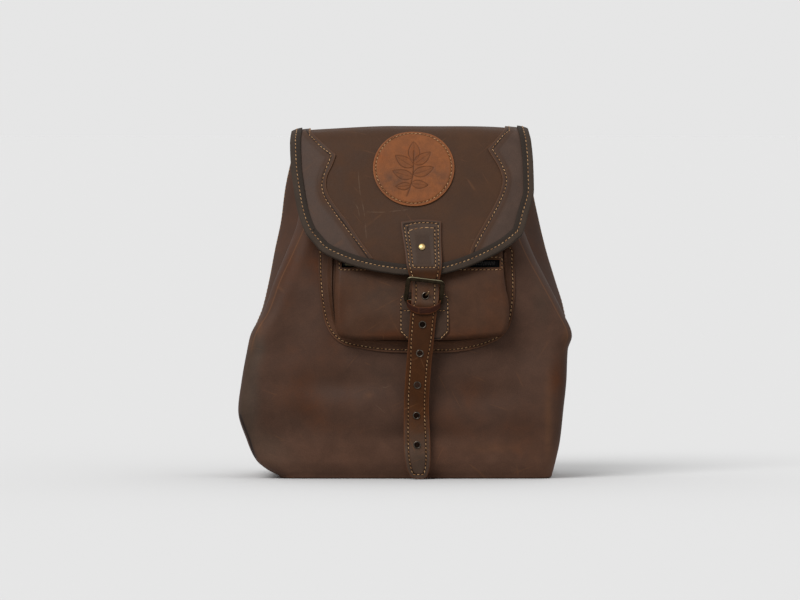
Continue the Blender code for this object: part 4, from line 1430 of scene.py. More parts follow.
# Scratches: the way that each set of them lies across, its scale, and the noise level where it starts
SCRATCH_WAYS = (
    ((0.30, 0.55, 0.78), 15.0, 0.69),
    ((-0.72, 0.45, 0.53), 12.0, 0.70),
    ((0.78, 0.50, 0.37), 13.0, 0.695),
    ((-0.35, -0.60, 0.72), 11.0, 0.70),
)
SCRATCH_STRETCH = 25.0


def scratch_group():
    """Long thin scratches in four directions."""

    def build(tree, given):
        total = None
        bent = cloud_shift(tree, given["Vector"], 9.0, 0.012)
        for way, size, low in SCRATCH_WAYS:
            reach = add_node(tree, "VectorMath", {0: bent, 1: way}, operation="DOT_PRODUCT").outputs["Value"]
            reach = times(tree, reach, SCRATCH_STRETCH)
            pulled = add_node(tree, "VectorMath", {0: way, 3: reach}, operation="SCALE").outputs[0]
            laid = add_node(tree, "VectorMath", {0: bent, 1: pulled}, operation="ADD").outputs[0]
            streak = cloud(tree, laid, size, 1.0, 0.4)
            broken = cloud(tree, given["Vector"], 2.0 * size, 2.0, 0.6)
            line = times(tree, span(tree, streak, low, low + 0.05), span(tree, broken, 0.50, 0.66))
            total = line if total is None else calc(tree, "MAXIMUM", total, line)
        return {"Mask": times(tree, total, given["Amount"])}

    inputs = (("Vector", "Vector", None), ("Amount", "Float", 1.0))
    return group("Scratches", inputs, (("Mask", "Float"),), build)


def edge_wear_group():
    """Rubbing along an edge, broken up by noise, from the distance to the edge in millimetres."""

    def build(tree, given):
        broken = cloud(tree, given["Vector"], 160.0, 3.0, 0.6)
        reach = times(tree, given["Width"], plus(tree, broken, 0.5))
        share = calc(tree, "DIVIDE", given["Distance"], reach)
        return {"Mask": times(tree, span(tree, share, 0.15, 1.0, 1.0, 0.0), given["Amount"], True)}

    inputs = (
        ("Vector", "Vector", None), ("Distance", "Float", 60.0), ("Width", "Float", 1.5),
        ("Amount", "Float", 1.0),
    )
    return group("Edge wear", inputs, (("Mask", "Float"),), build)


def seam_group():
    """Pressed line where a row of stitches pulls the leather in."""

    def build(tree, given):
        off = calc(tree, "ABSOLUTE", minus(tree, given["Distance"], given["Place"]))
        share = calc(tree, "DIVIDE", off, given["Width"])
        mask = span(tree, share, 0.25, 1.0, 1.0, 0.0)
        return {"Mask": mask, "Shoulder": span(tree, share, 0.8, 2.6, 1.0, 0.0)}

    inputs = (("Distance", "Float", 60.0), ("Place", "Float", 3.0), ("Width", "Float", 0.9))
    return group("Stitched groove", inputs, (("Mask", "Float"), ("Shoulder", "Float")), build)


def weave_group():
    """Plain weave from two distances in millimetres: heights and a light and dark mask."""

    def build(tree, given):
        warp, weft = (
            calc(tree, "SINE", times(tree, calc(tree, "DIVIDE", given[way], given["Pitch"]), 2.0 * math.pi))
            for way in ("Along", "Across")
        )
        crossing = times(tree, warp, weft)
        height = times(tree, plus(tree, crossing, 1.0), 0.5)
        return {"Height": height, "Mask": height}

    inputs = (("Along", "Float", 0.0), ("Across", "Float", 0.0), ("Pitch", "Float", 1.0))
    return group("Tape weave", inputs, (("Height", "Float"), ("Mask", "Float")), build)


def metal_wear_group():
    """Cloudy tarnish and fine scuffs of old metal."""

    def build(tree, given):
        wide = cloud(tree, given["Vector"], 190.0, 3.0, 0.6, 0.4)
        fine = cloud(tree, given["Vector"], 1400.0, 3.0, 0.6)
        tarnish = span(tree, wide, 0.36, 0.66)
        colour = mix(tree, times(tree, tarnish, given["Amount"]), given["Clean"], given["Dull"])
        rough = plus(tree, times(tree, tarnish, 0.16), times(tree, fine, 0.14))
        return {"Color": colour, "Roughness": plus(tree, rough, given["Gloss"]), "Height": fine}

    inputs = (
        ("Vector", "Vector", None), ("Clean", "Color", (0.3, 0.25, 0.15, 1.0)),
        ("Dull", "Color", (0.05, 0.05, 0.03, 1.0)), ("Amount", "Float", 1.0), ("Gloss", "Float", 0.2),
    )
    outputs = (("Color", "Color"), ("Roughness", "Float"), ("Height", "Float"))
    return group("Metal wear", inputs, outputs, build)


def new_material(name):
    material = bpy.data.materials.get(name)
    if material is not None:
        bpy.data.materials.remove(material)
    material = bpy.data.materials.new(name)
    material.use_nodes = True
    tree = material.node_tree
    return material, tree, tree.nodes["Principled BSDF"]


def rgba(colour):
    return (colour[0], colour[1], colour[2], 1.0)


def scaled(colour, red, green, blue):
    return (colour[0] * red, colour[1] * green, colour[2] * blue, 1.0)


def darker(colour, share):
    return scaled(colour, share, share, share)


SCRATCH_COLOUR = (*tone(112, 92, 76), 1.0)


def leather(name, base, seams=(), scale=14.0, amount=1.0, edge=1.4, edge_amount=0.7, scratches=0.25,
            gloss=0.46, crease=False, tones=False, rubs=False, paler=False, pressed=False, warm=None,
            edge_colour=None, lines=0):
    """Waxed leather: mottled, grained, scratched, rubbed at its edges and pressed along its seams, with painted
    shade in the seam grooves and painted light where a piece is made paler to lift its shade.
    """
    material, tree, shader = new_material(name)
    shades = colours()
    place = object_place(tree)
    rim = mark(tree, "rim")
    lean = mark(tree, "tone") if tones else 0.0
    mottled = use_group(
        tree, mottling_group(), Vector=place, Base=rgba(base), Warm=rgba(warm or shades.warm),
        Grey=rgba(shades.grey),
        Tone=lean, Amount=amount, Scale=scale,
    )
    grained = use_group(tree, grain_group(), Vector=place)
    colour = mottled["Color"]
    height = grained["Height"]
    if scratches > 0.0:
        scratched = use_group(tree, scratch_group(), Vector=place, Amount=scratches)["Mask"]
        colour = mix(tree, scratched, colour, rgba(shades.worn))
    for number in range(1, lines + 1):
        off = calc(tree, "ABSOLUTE", mark(tree, "line_%d" % number))
        broken = span(tree, cloud(tree, place, 130.0, 3.0, 0.6), 0.36, 0.60)
        drawn = times(tree, span(tree, off, 0.1, 0.65, 0.42, 0.0), broken)
        drawn = times(tree, drawn, mark(tree, "line_fade_%d" % number))
        colour = mix(tree, drawn, colour, SCRATCH_COLOUR)
    rubbed = use_group(
        tree, edge_wear_group(), Vector=place, Distance=rim, Width=edge, Amount=edge_amount,
    )["Mask"]
    colour = mix(tree, rubbed, colour, rgba(edge_colour or shades.worn))
    # Light line along the wall's fold: partly a rubbed fold, partly a painted highlight on its edge
    if crease:
        off = calc(tree, "ABSOLUTE", mark(tree, "crease"))
        line = use_group(tree, edge_wear_group(), Vector=place, Distance=off, Width=1.5, Amount=0.5)["Mask"]
        line = times(tree, line, mark(tree, "crease_fade"))
        colour = mix(tree, line, colour, rgba(shades.worn))
    if rubs:
        pale = times(tree, mark(tree, "rub"), span(tree, mottled["Clouds"], 0.3, 0.6, 0.6, 1.0), True)
        colour = mix(tree, pale, colour, rgba(shades.worn))
    # Paler or darker where the mesh's paler mark says so; where it lifts the shade of the body's foot, under the
    # pocket, on the bellows and inside the buckle, it is painted light
    if paler:
        painted_lift = add_grey(tree, plus(tree, mark(tree, "paler"), 1.0))
        colour = mix(tree, 1.0, colour, painted_lift, "MULTIPLY")
    if pressed:
        low = mark(tree, "pressed")
        colour = mix(tree, times(tree, low, 0.5), colour, darker(base, 0.45))
        height = minus(tree, height, times(tree, low, 2.0))
    # Each seam darkens its groove and its shoulders: partly pressed leather, partly painted shade in the groove
    for distance, at, width, force in seams:
        groove = use_group(tree, seam_group(), Distance=mark(tree, distance), Place=at, Width=width)
        colour = mix(tree, times(tree, groove["Shoulder"], 0.30 * force), colour, darker(base, 0.62))
        colour = mix(tree, times(tree, groove["Mask"], 0.85 * force), colour, darker(base, 0.16))
        height = minus(tree, height, times(tree, groove["Mask"], 3.0 * force))
        height = minus(tree, height, times(tree, groove["Shoulder"], 1.5 * force))
    bump = bumped(tree, height, sizes().grain_depth, 1.0)
    shine = span(tree, mottled["Clouds"], 0.3, 0.7, gloss, gloss + 0.14)
    shine = plus(tree, shine, times(tree, grained["Pores"], 0.10))
    join(tree, shader, Base_Color=colour, Roughness=shine, Normal=bump, Specular_IOR_Level=0.11)
    return material


def thread_material():
    """Waxed thread: twisted strands, each stitch a little lighter or darker."""
    made = bpy.data.materials.get("Waxed thread")
    if made is not None:
        return made
    material, tree, shader = new_material("Waxed thread")
    place = object_place(tree)
    shade = mark(tree, "shade")
    strands = add_node(
        tree, "TexWave",
        {
            "Vector": stretched(tree, place, (1.0, 1.0, 1.0), (0.0, 0.7, 0.0)), "Scale": 520.0,
            "Distortion": 1.5,
        },
    ).outputs["Fac"]
    base = rgba(colours().thread)
    low = scaled(base, 0.48, 0.37, 0.27)
    colour = mix(tree, span(tree, shade, 0.0, 0.75), low, base)
    soiled = cloud(tree, place, 34.0, 3.0, 0.6)
    colour = mix(tree, span(tree, soiled, 0.50, 0.72, 0.0, 0.75), colour, low)
    colour = mix(tree, times(tree, strands, 0.35), colour, low)
    bump = bumped(tree, strands, 0.00012, 0.8)
    join(tree, shader, Base_Color=colour, Roughness=0.62, Normal=bump, Specular_IOR_Level=0.3)
    return material


def tape_material(name, base, pitch, seams=(), stripe=0.35, inner=0.0):
    """Woven tape, darkened over its inner part where asked."""
    material, tree, shader = new_material(name)
    place = object_place(tree)
    rim = mark(tree, "rim")
    woven = use_group(tree, weave_group(), Along=mark(tree, "along"), Across=rim, Pitch=pitch)
    drift = cloud(tree, place, 46.0, 4.0, 0.6)
    fuzz = cloud(tree, place, 1500.0, 2.0, 0.6)
    colour = mix(tree, span(tree, drift, 0.3, 0.7), darker(base, 0.72), rgba(base))
    farther_in = span(tree, rim, BINDING_SEAM + 1.7, BINDING_SEAM + 2.9, 0.0, inner)
    colour = mix(tree, farther_in, colour, darker(base, 0.25))
    colour = mix(tree, times(tree, woven["Mask"], stripe), colour, darker(base, 1.6))
    colour = mix(tree, span(tree, fuzz, 0.55, 0.75, 0.0, 0.3), colour, darker(base, 1.7))
    height = plus(tree, woven["Height"], times(tree, fuzz, 0.8))
    # Each seam darkens its groove: partly pressed tape, partly painted shade
    for distance, at, width in seams:
        groove = use_group(tree, seam_group(), Distance=mark(tree, distance), Place=at, Width=width)
        colour = mix(tree, times(tree, groove["Mask"], 0.8), colour, darker(base, 0.14))
        height = minus(tree, height, times(tree, groove["Shoulder"], 1.6))
    bump = bumped(tree, height, 0.00016, 0.9)
    join(tree, shader, Base_Color=colour, Roughness=0.8, Normal=bump, Specular_IOR_Level=0.2)
    return material


def metal_material(name, clean, dull, gloss, amount, highlight_colour=None):
    """Old metal with cloudy tarnish, duller in places, and a painted highlight colour where the mesh says so."""
    material, tree, shader = new_material(name)
    place = object_place(tree)
    worn = use_group(
        tree, metal_wear_group(), Vector=place, Clean=rgba(clean), Dull=rgba(dull), Amount=amount,
        Gloss=gloss,
    )
    colour = worn["Color"]
    if highlight_colour:
        colour = mix(tree, mark(tree, "painted_highlight"), colour, rgba(highlight_colour))
    bump = bumped(tree, worn["Height"], 0.00005, 0.5)
    join(tree, shader, Base_Color=colour, Roughness=worn["Roughness"], Normal=bump, Metallic=1.0)
    return material


# Pieces

class BuildBody(bpy.types.Operator):
    """Body wall, base and back panel"""

    bl_idname = "rucksack.body"
    bl_label = "Body"

    def execute(self, context):
        shades = colours()
        skin = leather(
            "Body leather", shades.body, seams=(("rim", 4.0, 0.9, 1.0), ("turned", 0.0, 1.9, 1.0)),
            scale=11.0,
            amount=0.75, crease=True, tones=True, rubs=True, paler=True, edge_amount=0.25, scratches=0.2,
            lines=len(BODY_LINES),
        )
        up = np.linspace(0.0, 1.0, 118)
        z_rows = lerp(2.8, MOUTH_Z, 0.55 * up + 0.45 * up * up)
        foot = np.array(((0.3, 4.2), (0.35, 2.6), (0.8, 1.3), (1.7, 0.4)))
        across = np.linspace(0.0, 1.0, 226)
        grid = wall_points(across[None, :], z_rows[:, None])
        outline = wall_points(across, np.full(across.shape, 2.8))
        along = np.gradient(outline, axis=0)
        inward = unit(np.stack((-along[:, 1], along[:, 0], 0.0 * along[:, 0]), axis=-1))
        low_rows = []
        for height, inset in foot:
            row = outline + inward * inset
            row[:, 2] = height
            low_rows.append(row)
        grid = np.concatenate((np.array(low_rows), grid))
        run = np.minimum(across, 1.0 - across)
        x = grid[..., 0]
        z = grid[..., 2]
        front = smooth(run, 0.18, 0.26)
        # Strip of the body under the pocket, made paler below as painted light
        under_pocket = smooth(z, 136.0, 150.0) * smooth(-z, -172.0, -162.0)
        under_pocket = under_pocket * smooth(-np.abs(x - 6.0), -88.0, -58.0)
        marks = {
            "rim": np.minimum(FAR_FROM_EDGE, np.minimum(MOUTH_Z - z, WALL_SIDE_RUN * run)),
            "crease": (run - 0.25) * WALL_RUN_PER_ACROSS,
            "crease_fade": smooth(z, 130.0, 165.0) * smooth(-z, -300.0, -270.0),
            "tone": blobs(BODY_TONES, x, z) * front + 0.2 * (1.0 - front),
            "rub": blobs(BODY_RUBS, x, z) * front,
            # Painted light: the foot and the strip under the pocket are made paler to lift their shade
            "paler": FOOT_PAINTED_LIGHT * smooth(-z, -62.0, -6.0) + UNDER_POCKET_PAINTED_LIGHT * under_pocket * front,
            "turned": lerp(
                FAR_FROM_EDGE, distance_to_routes(grid[..., [0, 2]], [flowing(BODY_TURNED)]),
                smooth(run, 0.20, 0.22),
            ),
        }
        marks.update(line_marks(BODY_LINES, x + OFF_THE_FRONT * (1.0 - front), z))
        wall = place_piece("body_wall", grid_mesh("body_wall", grid, marks), skin, ("body_shell",))
        thicken(wall, sizes().wall_thickness)
        self.wall_stitches()
        self.base(shades)
        self.back(shades)
        return {"FINISHED"}

    def wall_stitches(self):
        """Rows along the wall's back edges and round the mouth."""
        routes = []
        heights = np.linspace(9.0, MOUTH_Z - 4.5, 180)
        for across in (WALL_SEAM_RUN, 1.0 - WALL_SEAM_RUN):
            points = wall_points(np.full(heights.shape, across), heights)
            sideways = -1.0 if across < 0.5 else 1.0
            normals = np.tile((sideways, 0.0, 0.0), (len(points), 1))
            routes.append((points + normals * 0.2, normals))
        around = np.linspace(WALL_SEAM_RUN, 1.0 - WALL_SEAM_RUN, 420)
        points = wall_points(around, np.full(around.shape, MOUTH_Z - 4.0))
        ahead = np.gradient(points, axis=0)
        normals = unit(np.stack((ahead[:, 1], -ahead[:, 0], 0.0 * ahead[:, 0]), axis=-1))
        routes.append((points + normals * 0.2, normals))
        sew("wall_stitches", routes, 3, bigger=0.9)

    def base(self, shades):
        """Base leather with a stitched border."""
        across = np.linspace(0.0, 1.0, 72)[None, :]
        front = np.linspace(0.0, 1.0, 40)[:, None]
        left = wall_points(CORNER_END * front, np.zeros(front.shape))
        right = wall_points(1.0 - CORNER_END * front, np.zeros(front.shape))
        grid = lerp(left, right, across[..., None])
        centre = np.array((14.0, 0.0, 0.0))
        grid = centre + (grid - centre) * np.array((0.972, 0.955, 1.0))
        grid[..., 2] = 0.25
        rim = np.minimum(np.minimum(across, 1.0 - across) * 280.0, np.minimum(front, 1.0 - front) * 130.0)
        skin = leather(
            "Base leather", shades.body, seams=(("rim", 5.0, 0.9, 1.0),), scratches=0.5, edge_amount=0.4,
        )
        mesh = grid_mesh("body_base", grid, {"rim": rim})
        panel = place_piece("body_base", mesh, skin, ("base_panel",))
        thicken(panel, 0.0022, -1.0)
        routes = []
        for start, end in (((-120.0, -58.0), (148.0, -58.0)), ((-116.0, 58.0), (144.0, 58.0))):
            route = straight(start, end)
            points = np.column_stack((route, np.full(len(route), 0.36)))
            routes.append((points, np.tile((0.0, 0.0, -1.0), (len(route), 1))))
        sew("base_stitches", routes, 5, bigger=0.7)

    def back(self, shades):
        """Back panel, a little padded, with a stitched border."""
        across = np.linspace(0.0, 1.0, 110)[None, :]
        z = np.linspace(0.4, PANEL_TOP_Z, 120)[:, None]
        left = BODY.read("back_left", z)
        right = BODY.read("back_right", z)
        x = lerp(right, left, across)
        inset = np.minimum(np.minimum(across, 1.0 - across) * (right - left), np.minimum(z, PANEL_TOP_Z - z))
        seam = np.exp(-((inset - PANEL_SEAM) / 2.2) ** 2)
        soft = waves(x, z, 51, (110.0, 60.0)) * 0.7 * smooth(inset, 8.0, 30.0)
        y = panel_back(x, z) - SEAM_SINK * seam + soft
        grid = np.stack((x, y, np.broadcast_to(z, x.shape)), axis=-1)
        skin = leather(
            "Back leather", shades.body, seams=(("rim", PANEL_SEAM, 0.9, 1.0),), scale=12.0, scratches=0.35,
            edge_amount=0.5,
        )
        mesh = grid_mesh("back_wall", grid, {"rim": np.minimum(FAR_FROM_EDGE, inset)})
        panel = place_piece("back_wall", mesh, skin, ("back_panel",))
        thicken(panel, PANEL_THICK * MM)

        heights = np.linspace(PANEL_SEAM + 0.4, PANEL_TOP_Z - PANEL_SEAM, 150)
        left_side = np.column_stack((BODY.read("back_left", heights) + PANEL_SEAM, heights))
        right_side = np.column_stack((BODY.read("back_right", heights) - PANEL_SEAM, heights))
        top = straight(left_side[-1], right_side[-1])
        low = straight(left_side[0], right_side[0])
        sunk = back_raised(-SEAM_SINK)
        routes = [laid_on(sunk, route, 0.3, -1.0) for route in (left_side, right_side, top, low)]
        sew("back_stitches", routes, 7)


class BuildFlap(bpy.types.Operator):
    """Flap, its two overlays, its edge tape and their stitches"""

    bl_idname = "rucksack.flap"
    bl_label = "Flap"

    def execute(self, context):
        shades = colours()
        across = np.linspace(0.0, 1.0, 120)[None, :]
        row = np.linspace(0.0, 1.0, 176)[:, None]
        x, run = flap_grid(across, row)
        skin = leather(
            "Flap leather", shades.flap, seams=(("rim", FLAP_BACK_SEAM, 0.9, 1.0),), scale=9.0, amount=0.5,
            edge_amount=0.3, tones=True, lines=len(FLAP_LINES),
        )
        tones = blobs(FLAP_TONES, x, flap_height(run))
        marks = {"tone": tones, "rim": np.minimum(FAR_FROM_EDGE, FLAP_LENGTH - run)}
        marks.update(line_marks(FLAP_LINES, x, flap_height(run)))
        mesh = grid_mesh("flap_leaf", flap_surface(x, run), marks)
        leaf = place_piece("flap_leaf", mesh, skin, ("flap",))
        thicken(leaf, sizes().flap_thickness)
        seam = FLAP_LENGTH - FLAP_BACK_SEAM
        ends = (float(flap_side("left", seam)) + 12.0, float(flap_side("right", seam)) - 12.0)
        plan = straight((ends[0], seam), (ends[1], seam))
        sew("flap_back_stitches", [laid_on(flap_surface, plan, 0.2)], 31)
        for side, sign in (("left", -1.0), ("right", 1.0)):
            self.overlay(side, sign, shades)
        self.tape(shades)
        return {"FINISHED"}

    def overlay(self, side, sign, shades):
        """Greyer shape sewn on one side of the flap, with a pointed inner edge."""
        start_run = float(flap_run_at(OVERLAY_FOOT_Z[side]))
        end_run = FLAP_LENGTH - OVERLAY_TAIL
        tip_run = float(flap_run_at(OVERLAY_TIP_Z[side]))
        low = np.linspace(start_run, tip_run, 84)
        high = np.linspace(tip_run, end_run, 96)[1:]
        run = np.concatenate((low, high))[:, None]
        height = flap_height(run)
        outer = FLAP_SIDES.read(side, height - OVERLAY_INSET) - sign * OVERLAY_INSET
        below = (height <= OVERLAY_TIP_Z[side]) & (run < FLAP_TOP_RUN)
        inner = np.where(below, OVERLAY_LOW[side].read("x", height), OVERLAY_HIGH[side].read("x", height))
        narrow = sign * (outer - inner) < OVERLAY_LEAST_WIDTH
        outer = np.where(narrow, inner + sign * OVERLAY_LEAST_WIDTH, outer)
        across = np.linspace(0.0, 1.0, 36)[None, :]
        x = lerp(outer, inner, across) if sign < 0 else lerp(inner, outer, across)
        edge = np.column_stack((inner[:, 0], run[:, 0]))
        rim = distance_to_routes(np.stack(both(x, run), axis=-1), [edge[::3]])
        marks = {"rim": rim, "tone": 0.75 * smooth(-rim, -17.0, -7.0) - 0.1}
        face = flap_raised(OVERLAY_LIFT + OVERLAY_THICK)
        skin = leather(
            "Overlay leather " + side, shades.overlay,
            seams=(("rim", 4.3, 0.85, 1.0), ("rim", 9.4, 1.0, 0.12)),
            scale=13.0, amount=0.5, tones=True, edge=1.0, edge_amount=0.45, warm=shades.flap,
        )
        name = "flap_overlay_" + side
        mesh = grid_mesh(name, face(x, run), marks)
        piece = place_piece(name, mesh, skin, ("flap_wing_" + side,))
        thicken(piece, OVERLAY_THICK * MM, -1.0, 0.00035)
        plans = [flowing([(px, float(flap_run_at(pz))) for px, pz in seam]) for seam in OVERLAY_SEAMS[side]]
        top_x, top_z = OVERLAY_SEAMS[side][0][0]
        back_runs = np.arange(float(flap_run_at(top_z)), end_run - 2.0, 1.5)
        plans.append(np.column_stack((np.full(back_runs.shape, top_x + sign), back_runs)))
        routes = [laid_on(face, plan, 0.22) for plan in plans]
        sew("overlay_stitches_" + side, routes, 60 + int(sign), bigger=0.95)

    def tape(self, shades):
        """Woven tape folded round the flap's edge, and its row of stitches."""
        down = [flap_grid(0.0, at) for at in np.linspace(BINDING_LAST, 0.0, 150)[:-1]]
        along = [flap_grid(at, 0.0) for at in np.linspace(0.0, 1.0, 150)]
        up = [flap_grid(1.0, at) for at in np.linspace(0.0, BINDING_LAST, 150)[1:]]
        route = np.array([(float(a), float(b)) for a, b in down + along + up])
        ahead = unit(np.gradient(route, axis=0))
        inward = np.stack((-ahead[:, 1], ahead[:, 0]), axis=-1)
        top = BINDING_TOP
        under = -1.8 - BINDING_ROOM - BINDING_THICK
        outer = -BINDING_ROOM - BINDING_THICK
        bend = BINDING_BEND
        wide = BINDING_WIDTH
        section = [(wide, top - BINDING_THICK), (wide + 0.1, top - 0.3), (wide - 0.3, top)]
        section += [(depth, top + 0.16 * math.sin(math.pi * depth / wide)) for depth in (7.9, 5.3, 3.1, 1.4)]
        for first, centre in ((90.0, top - bend), (180.0, under + bend)):
            for turn in np.radians(np.linspace(first, first + 90.0, 5)):
                section.append((outer + bend + bend * math.cos(turn), centre + bend * math.sin(turn)))
        section += [(wide, under), (wide, under + BINDING_THICK), (0.4, under + BINDING_THICK)]
        section += [(-BINDING_ROOM, under + BINDING_THICK + 0.6), (-BINDING_ROOM, top - BINDING_THICK - 0.6)]
        section += [(0.4, top - BINDING_THICK)]
        section = np.array(section)
        plan = route[:, None] + inward[:, None] * section[None, :, 0, None]
        grid = flap_point(plan[..., 0], plan[..., 1], section[None, :, 1])
        rim = np.where(section[:, 1] > 0.0, section[:, 0] - outer, outer - section[:, 0] - 3.0)
        marks = {"rim": rim, "along": distances(route)[:, None]}
        mesh = grid_mesh("flap_edge_tape", grid, marks, closed=True)
        rework(mesh, close_ends)
        seams = (("rim", BINDING_SEAM + 1.4, 0.8),)
        skin = tape_material("Edge tape", shades.tape, 1.25, seams=seams, inner=0.85)
        place_piece("flap_edge_tape", mesh, skin, ("flap_binding",))
        seam = route + inward * BINDING_SEAM
        points = flap_point(seam[:, 0], seam[:, 1], top + 0.28)
        normals = unit(points - flap_point(seam[:, 0], seam[:, 1], top - 0.8))
        sew("tape_stitches", [(points, normals)], 21, longer=1.08, pitch=4.7)


class BuildPatch(bpy.types.Operator):
    """Round tan patch with a pressed sprig of leaves and its ring of stitches"""

    bl_idname = "rucksack.patch"
    bl_label = "Round patch"

    # Leaves of the sprig: foot of the leaf, its direction in degrees, its length and its half width
    LEAVES = (
        (0.0, 8.0, 90.0, 23.0, 6.2),
        (0.5, 4.0, 38.0, 23.0, 5.6),
        (-0.5, 1.0, 146.0, 23.5, 5.8),
        (-0.4, -8.0, 20.0, 24.0, 5.6),
        (-1.0, -11.0, 162.0, 23.0, 5.4),
        (-2.4, -18.0, 352.0, 18.5, 4.6),
        (-3.2, -20.5, 186.0, 16.5, 4.2),
    )
    STEM = ((-7.5, -33.0), (-4.2, -24.0), (-1.6, -13.0), (-0.2, -2.0), (0.0, 8.0), (0.2, 20.0))

    def relief(self, a, b):
        """How far the pressed sprig sinks (above 0) or stands (below 0) at each point of the disc."""
        depth = np.zeros(a.shape)
        dark = np.zeros(a.shape)
        for foot_a, foot_b, way, length, half in self.LEAVES:
            c = math.cos(math.radians(way))
            s = math.sin(math.radians(way))
            along = ((a - foot_a) * c + (b - foot_b) * s) / length
            off = -(a - foot_a) * s + (b - foot_b) * c
            off = off + 2.2 * along * (1.0 - along) * (1.0 if c > 0 else -1.0)
            inside = (along > 0.0) & (along < 1.0)
            t = np.clip(along, 0.0, 1.0)
            width = half * (np.sin(math.pi * t ** 0.8) ** 0.85) + 0.001
            share = np.abs(off) / width
            leaf = np.where(inside, smooth(-share, -1.0, -0.72), 0.0)
            outline = np.where(inside, np.exp(-(((share - 1.0) * width) / 0.55) ** 2), 0.0)
            vein = np.where(inside, np.exp(-(off / 0.45) ** 2) * leaf, 0.0)
            comb = np.abs(np.sin((along * length - np.abs(off) * 0.9) * 1.15))
            ribs = np.where(inside, smooth(-comb, -0.32, -0.05) * leaf * 0.55, 0.0)
            depth = np.maximum(depth, 0.40 * outline)
            depth = depth - 0.20 * leaf * (1.0 - vein) + 0.14 * ribs + 0.22 * vein
            dark = np.maximum.reduce((dark, 0.95 * outline, 0.75 * vein, 0.5 * ribs, 0.24 * leaf))
        stem = distance_to_routes(np.stack((a, b), axis=-1), [flowing(self.STEM)])
        line = np.exp(-(stem / 0.75) ** 2)
        return depth + 0.3 * line, np.maximum(dark, 0.9 * line)

    def execute(self, context):
        shades = colours()
        turn = np.linspace(0.0, 2.0 * math.pi, 260, endpoint=False)[None, :]
        out = PATCH_RADIUS * (1.0 - np.linspace(0.0, 1.0, 78)[:, None])
        a = out * np.cos(turn)
        b = out * np.sin(turn)
        depth, dark = self.relief(a, b)
        centre_run = float(flap_run_at(PATCH_Z))
        curl = 0.35 * smooth(out, PATCH_RADIUS - 3.0, PATCH_RADIUS)
        groove = 0.35 * np.exp(-((PATCH_RADIUS - out - PATCH_SEAM) / 0.8) ** 2)
        soft = waves(a, b, 71, (40.0, 22.0)) * 0.18
        lift = PATCH_LIFT + PATCH_THICK - depth * 0.8 - curl - groove + soft
        grid = flap_point(PATCH_X + a, centre_run + b, lift)
        marks = {
            "rim": PATCH_RADIUS - out,
            "motif": dark,
            "tone": 0.4 * waves(a, b, 73, (60.0, 34.0)),
        }
        skin = self.skin(shades)
        mesh = grid_mesh("patch_disc", grid, marks, closed=True, weld=True)
        disc = place_piece("patch_disc", mesh, skin, ("round_patch",))
        thicken(disc, PATCH_THICK * MM, -1.0, 0.0003)
        around = np.linspace(0.0, 2.0 * math.pi, 320)
        radius = PATCH_RADIUS - PATCH_SEAM
        plan = np.column_stack((PATCH_X + radius * np.cos(around), centre_run + radius * np.sin(around)))
        route = laid_on(flap_raised(PATCH_LIFT + PATCH_THICK), plan, 0.0)
        sew("patch_stitches", [route], 75, bigger=0.95)
        return {"FINISHED"}

    def skin(self, shades):
        """Smooth tan leather, darker where the sprig is pressed in."""
        base = shades.patch
        material = leather(
            "Patch leather", base, seams=(("rim", PATCH_SEAM, 0.85, 0.8),), scale=26.0, amount=0.7,
            scratches=0.25,
            gloss=0.44, tones=True, warm=scaled(base, 1.12, 0.92, 0.75), edge=1.2, edge_amount=0.45,
            edge_colour=scaled(base, 1.35, 1.35, 1.3),
        )
        tree = material.node_tree
        shader = tree.nodes["Principled BSDF"]
        colour = shader.inputs["Base Color"].links[0].from_socket
        place = object_place(tree)
        sink = mark(tree, "motif")
        burnt = times(tree, sink, span(tree, cloud(tree, place, 120.0, 3.0), 0.25, 0.6, 0.55, 0.9))
        lined = cloud(tree, stretched(tree, place, (9.0, 9.0, 1.6)), 24.0, 4.0, 0.65)
        colour = mix(tree, span(tree, lined, 0.5, 0.74, 0.0, 0.35), colour, darker(base, 0.62))
        colour = mix(tree, burnt, colour, darker(base, 0.27))
        join(tree, shader, Base_Color=colour)
        return material


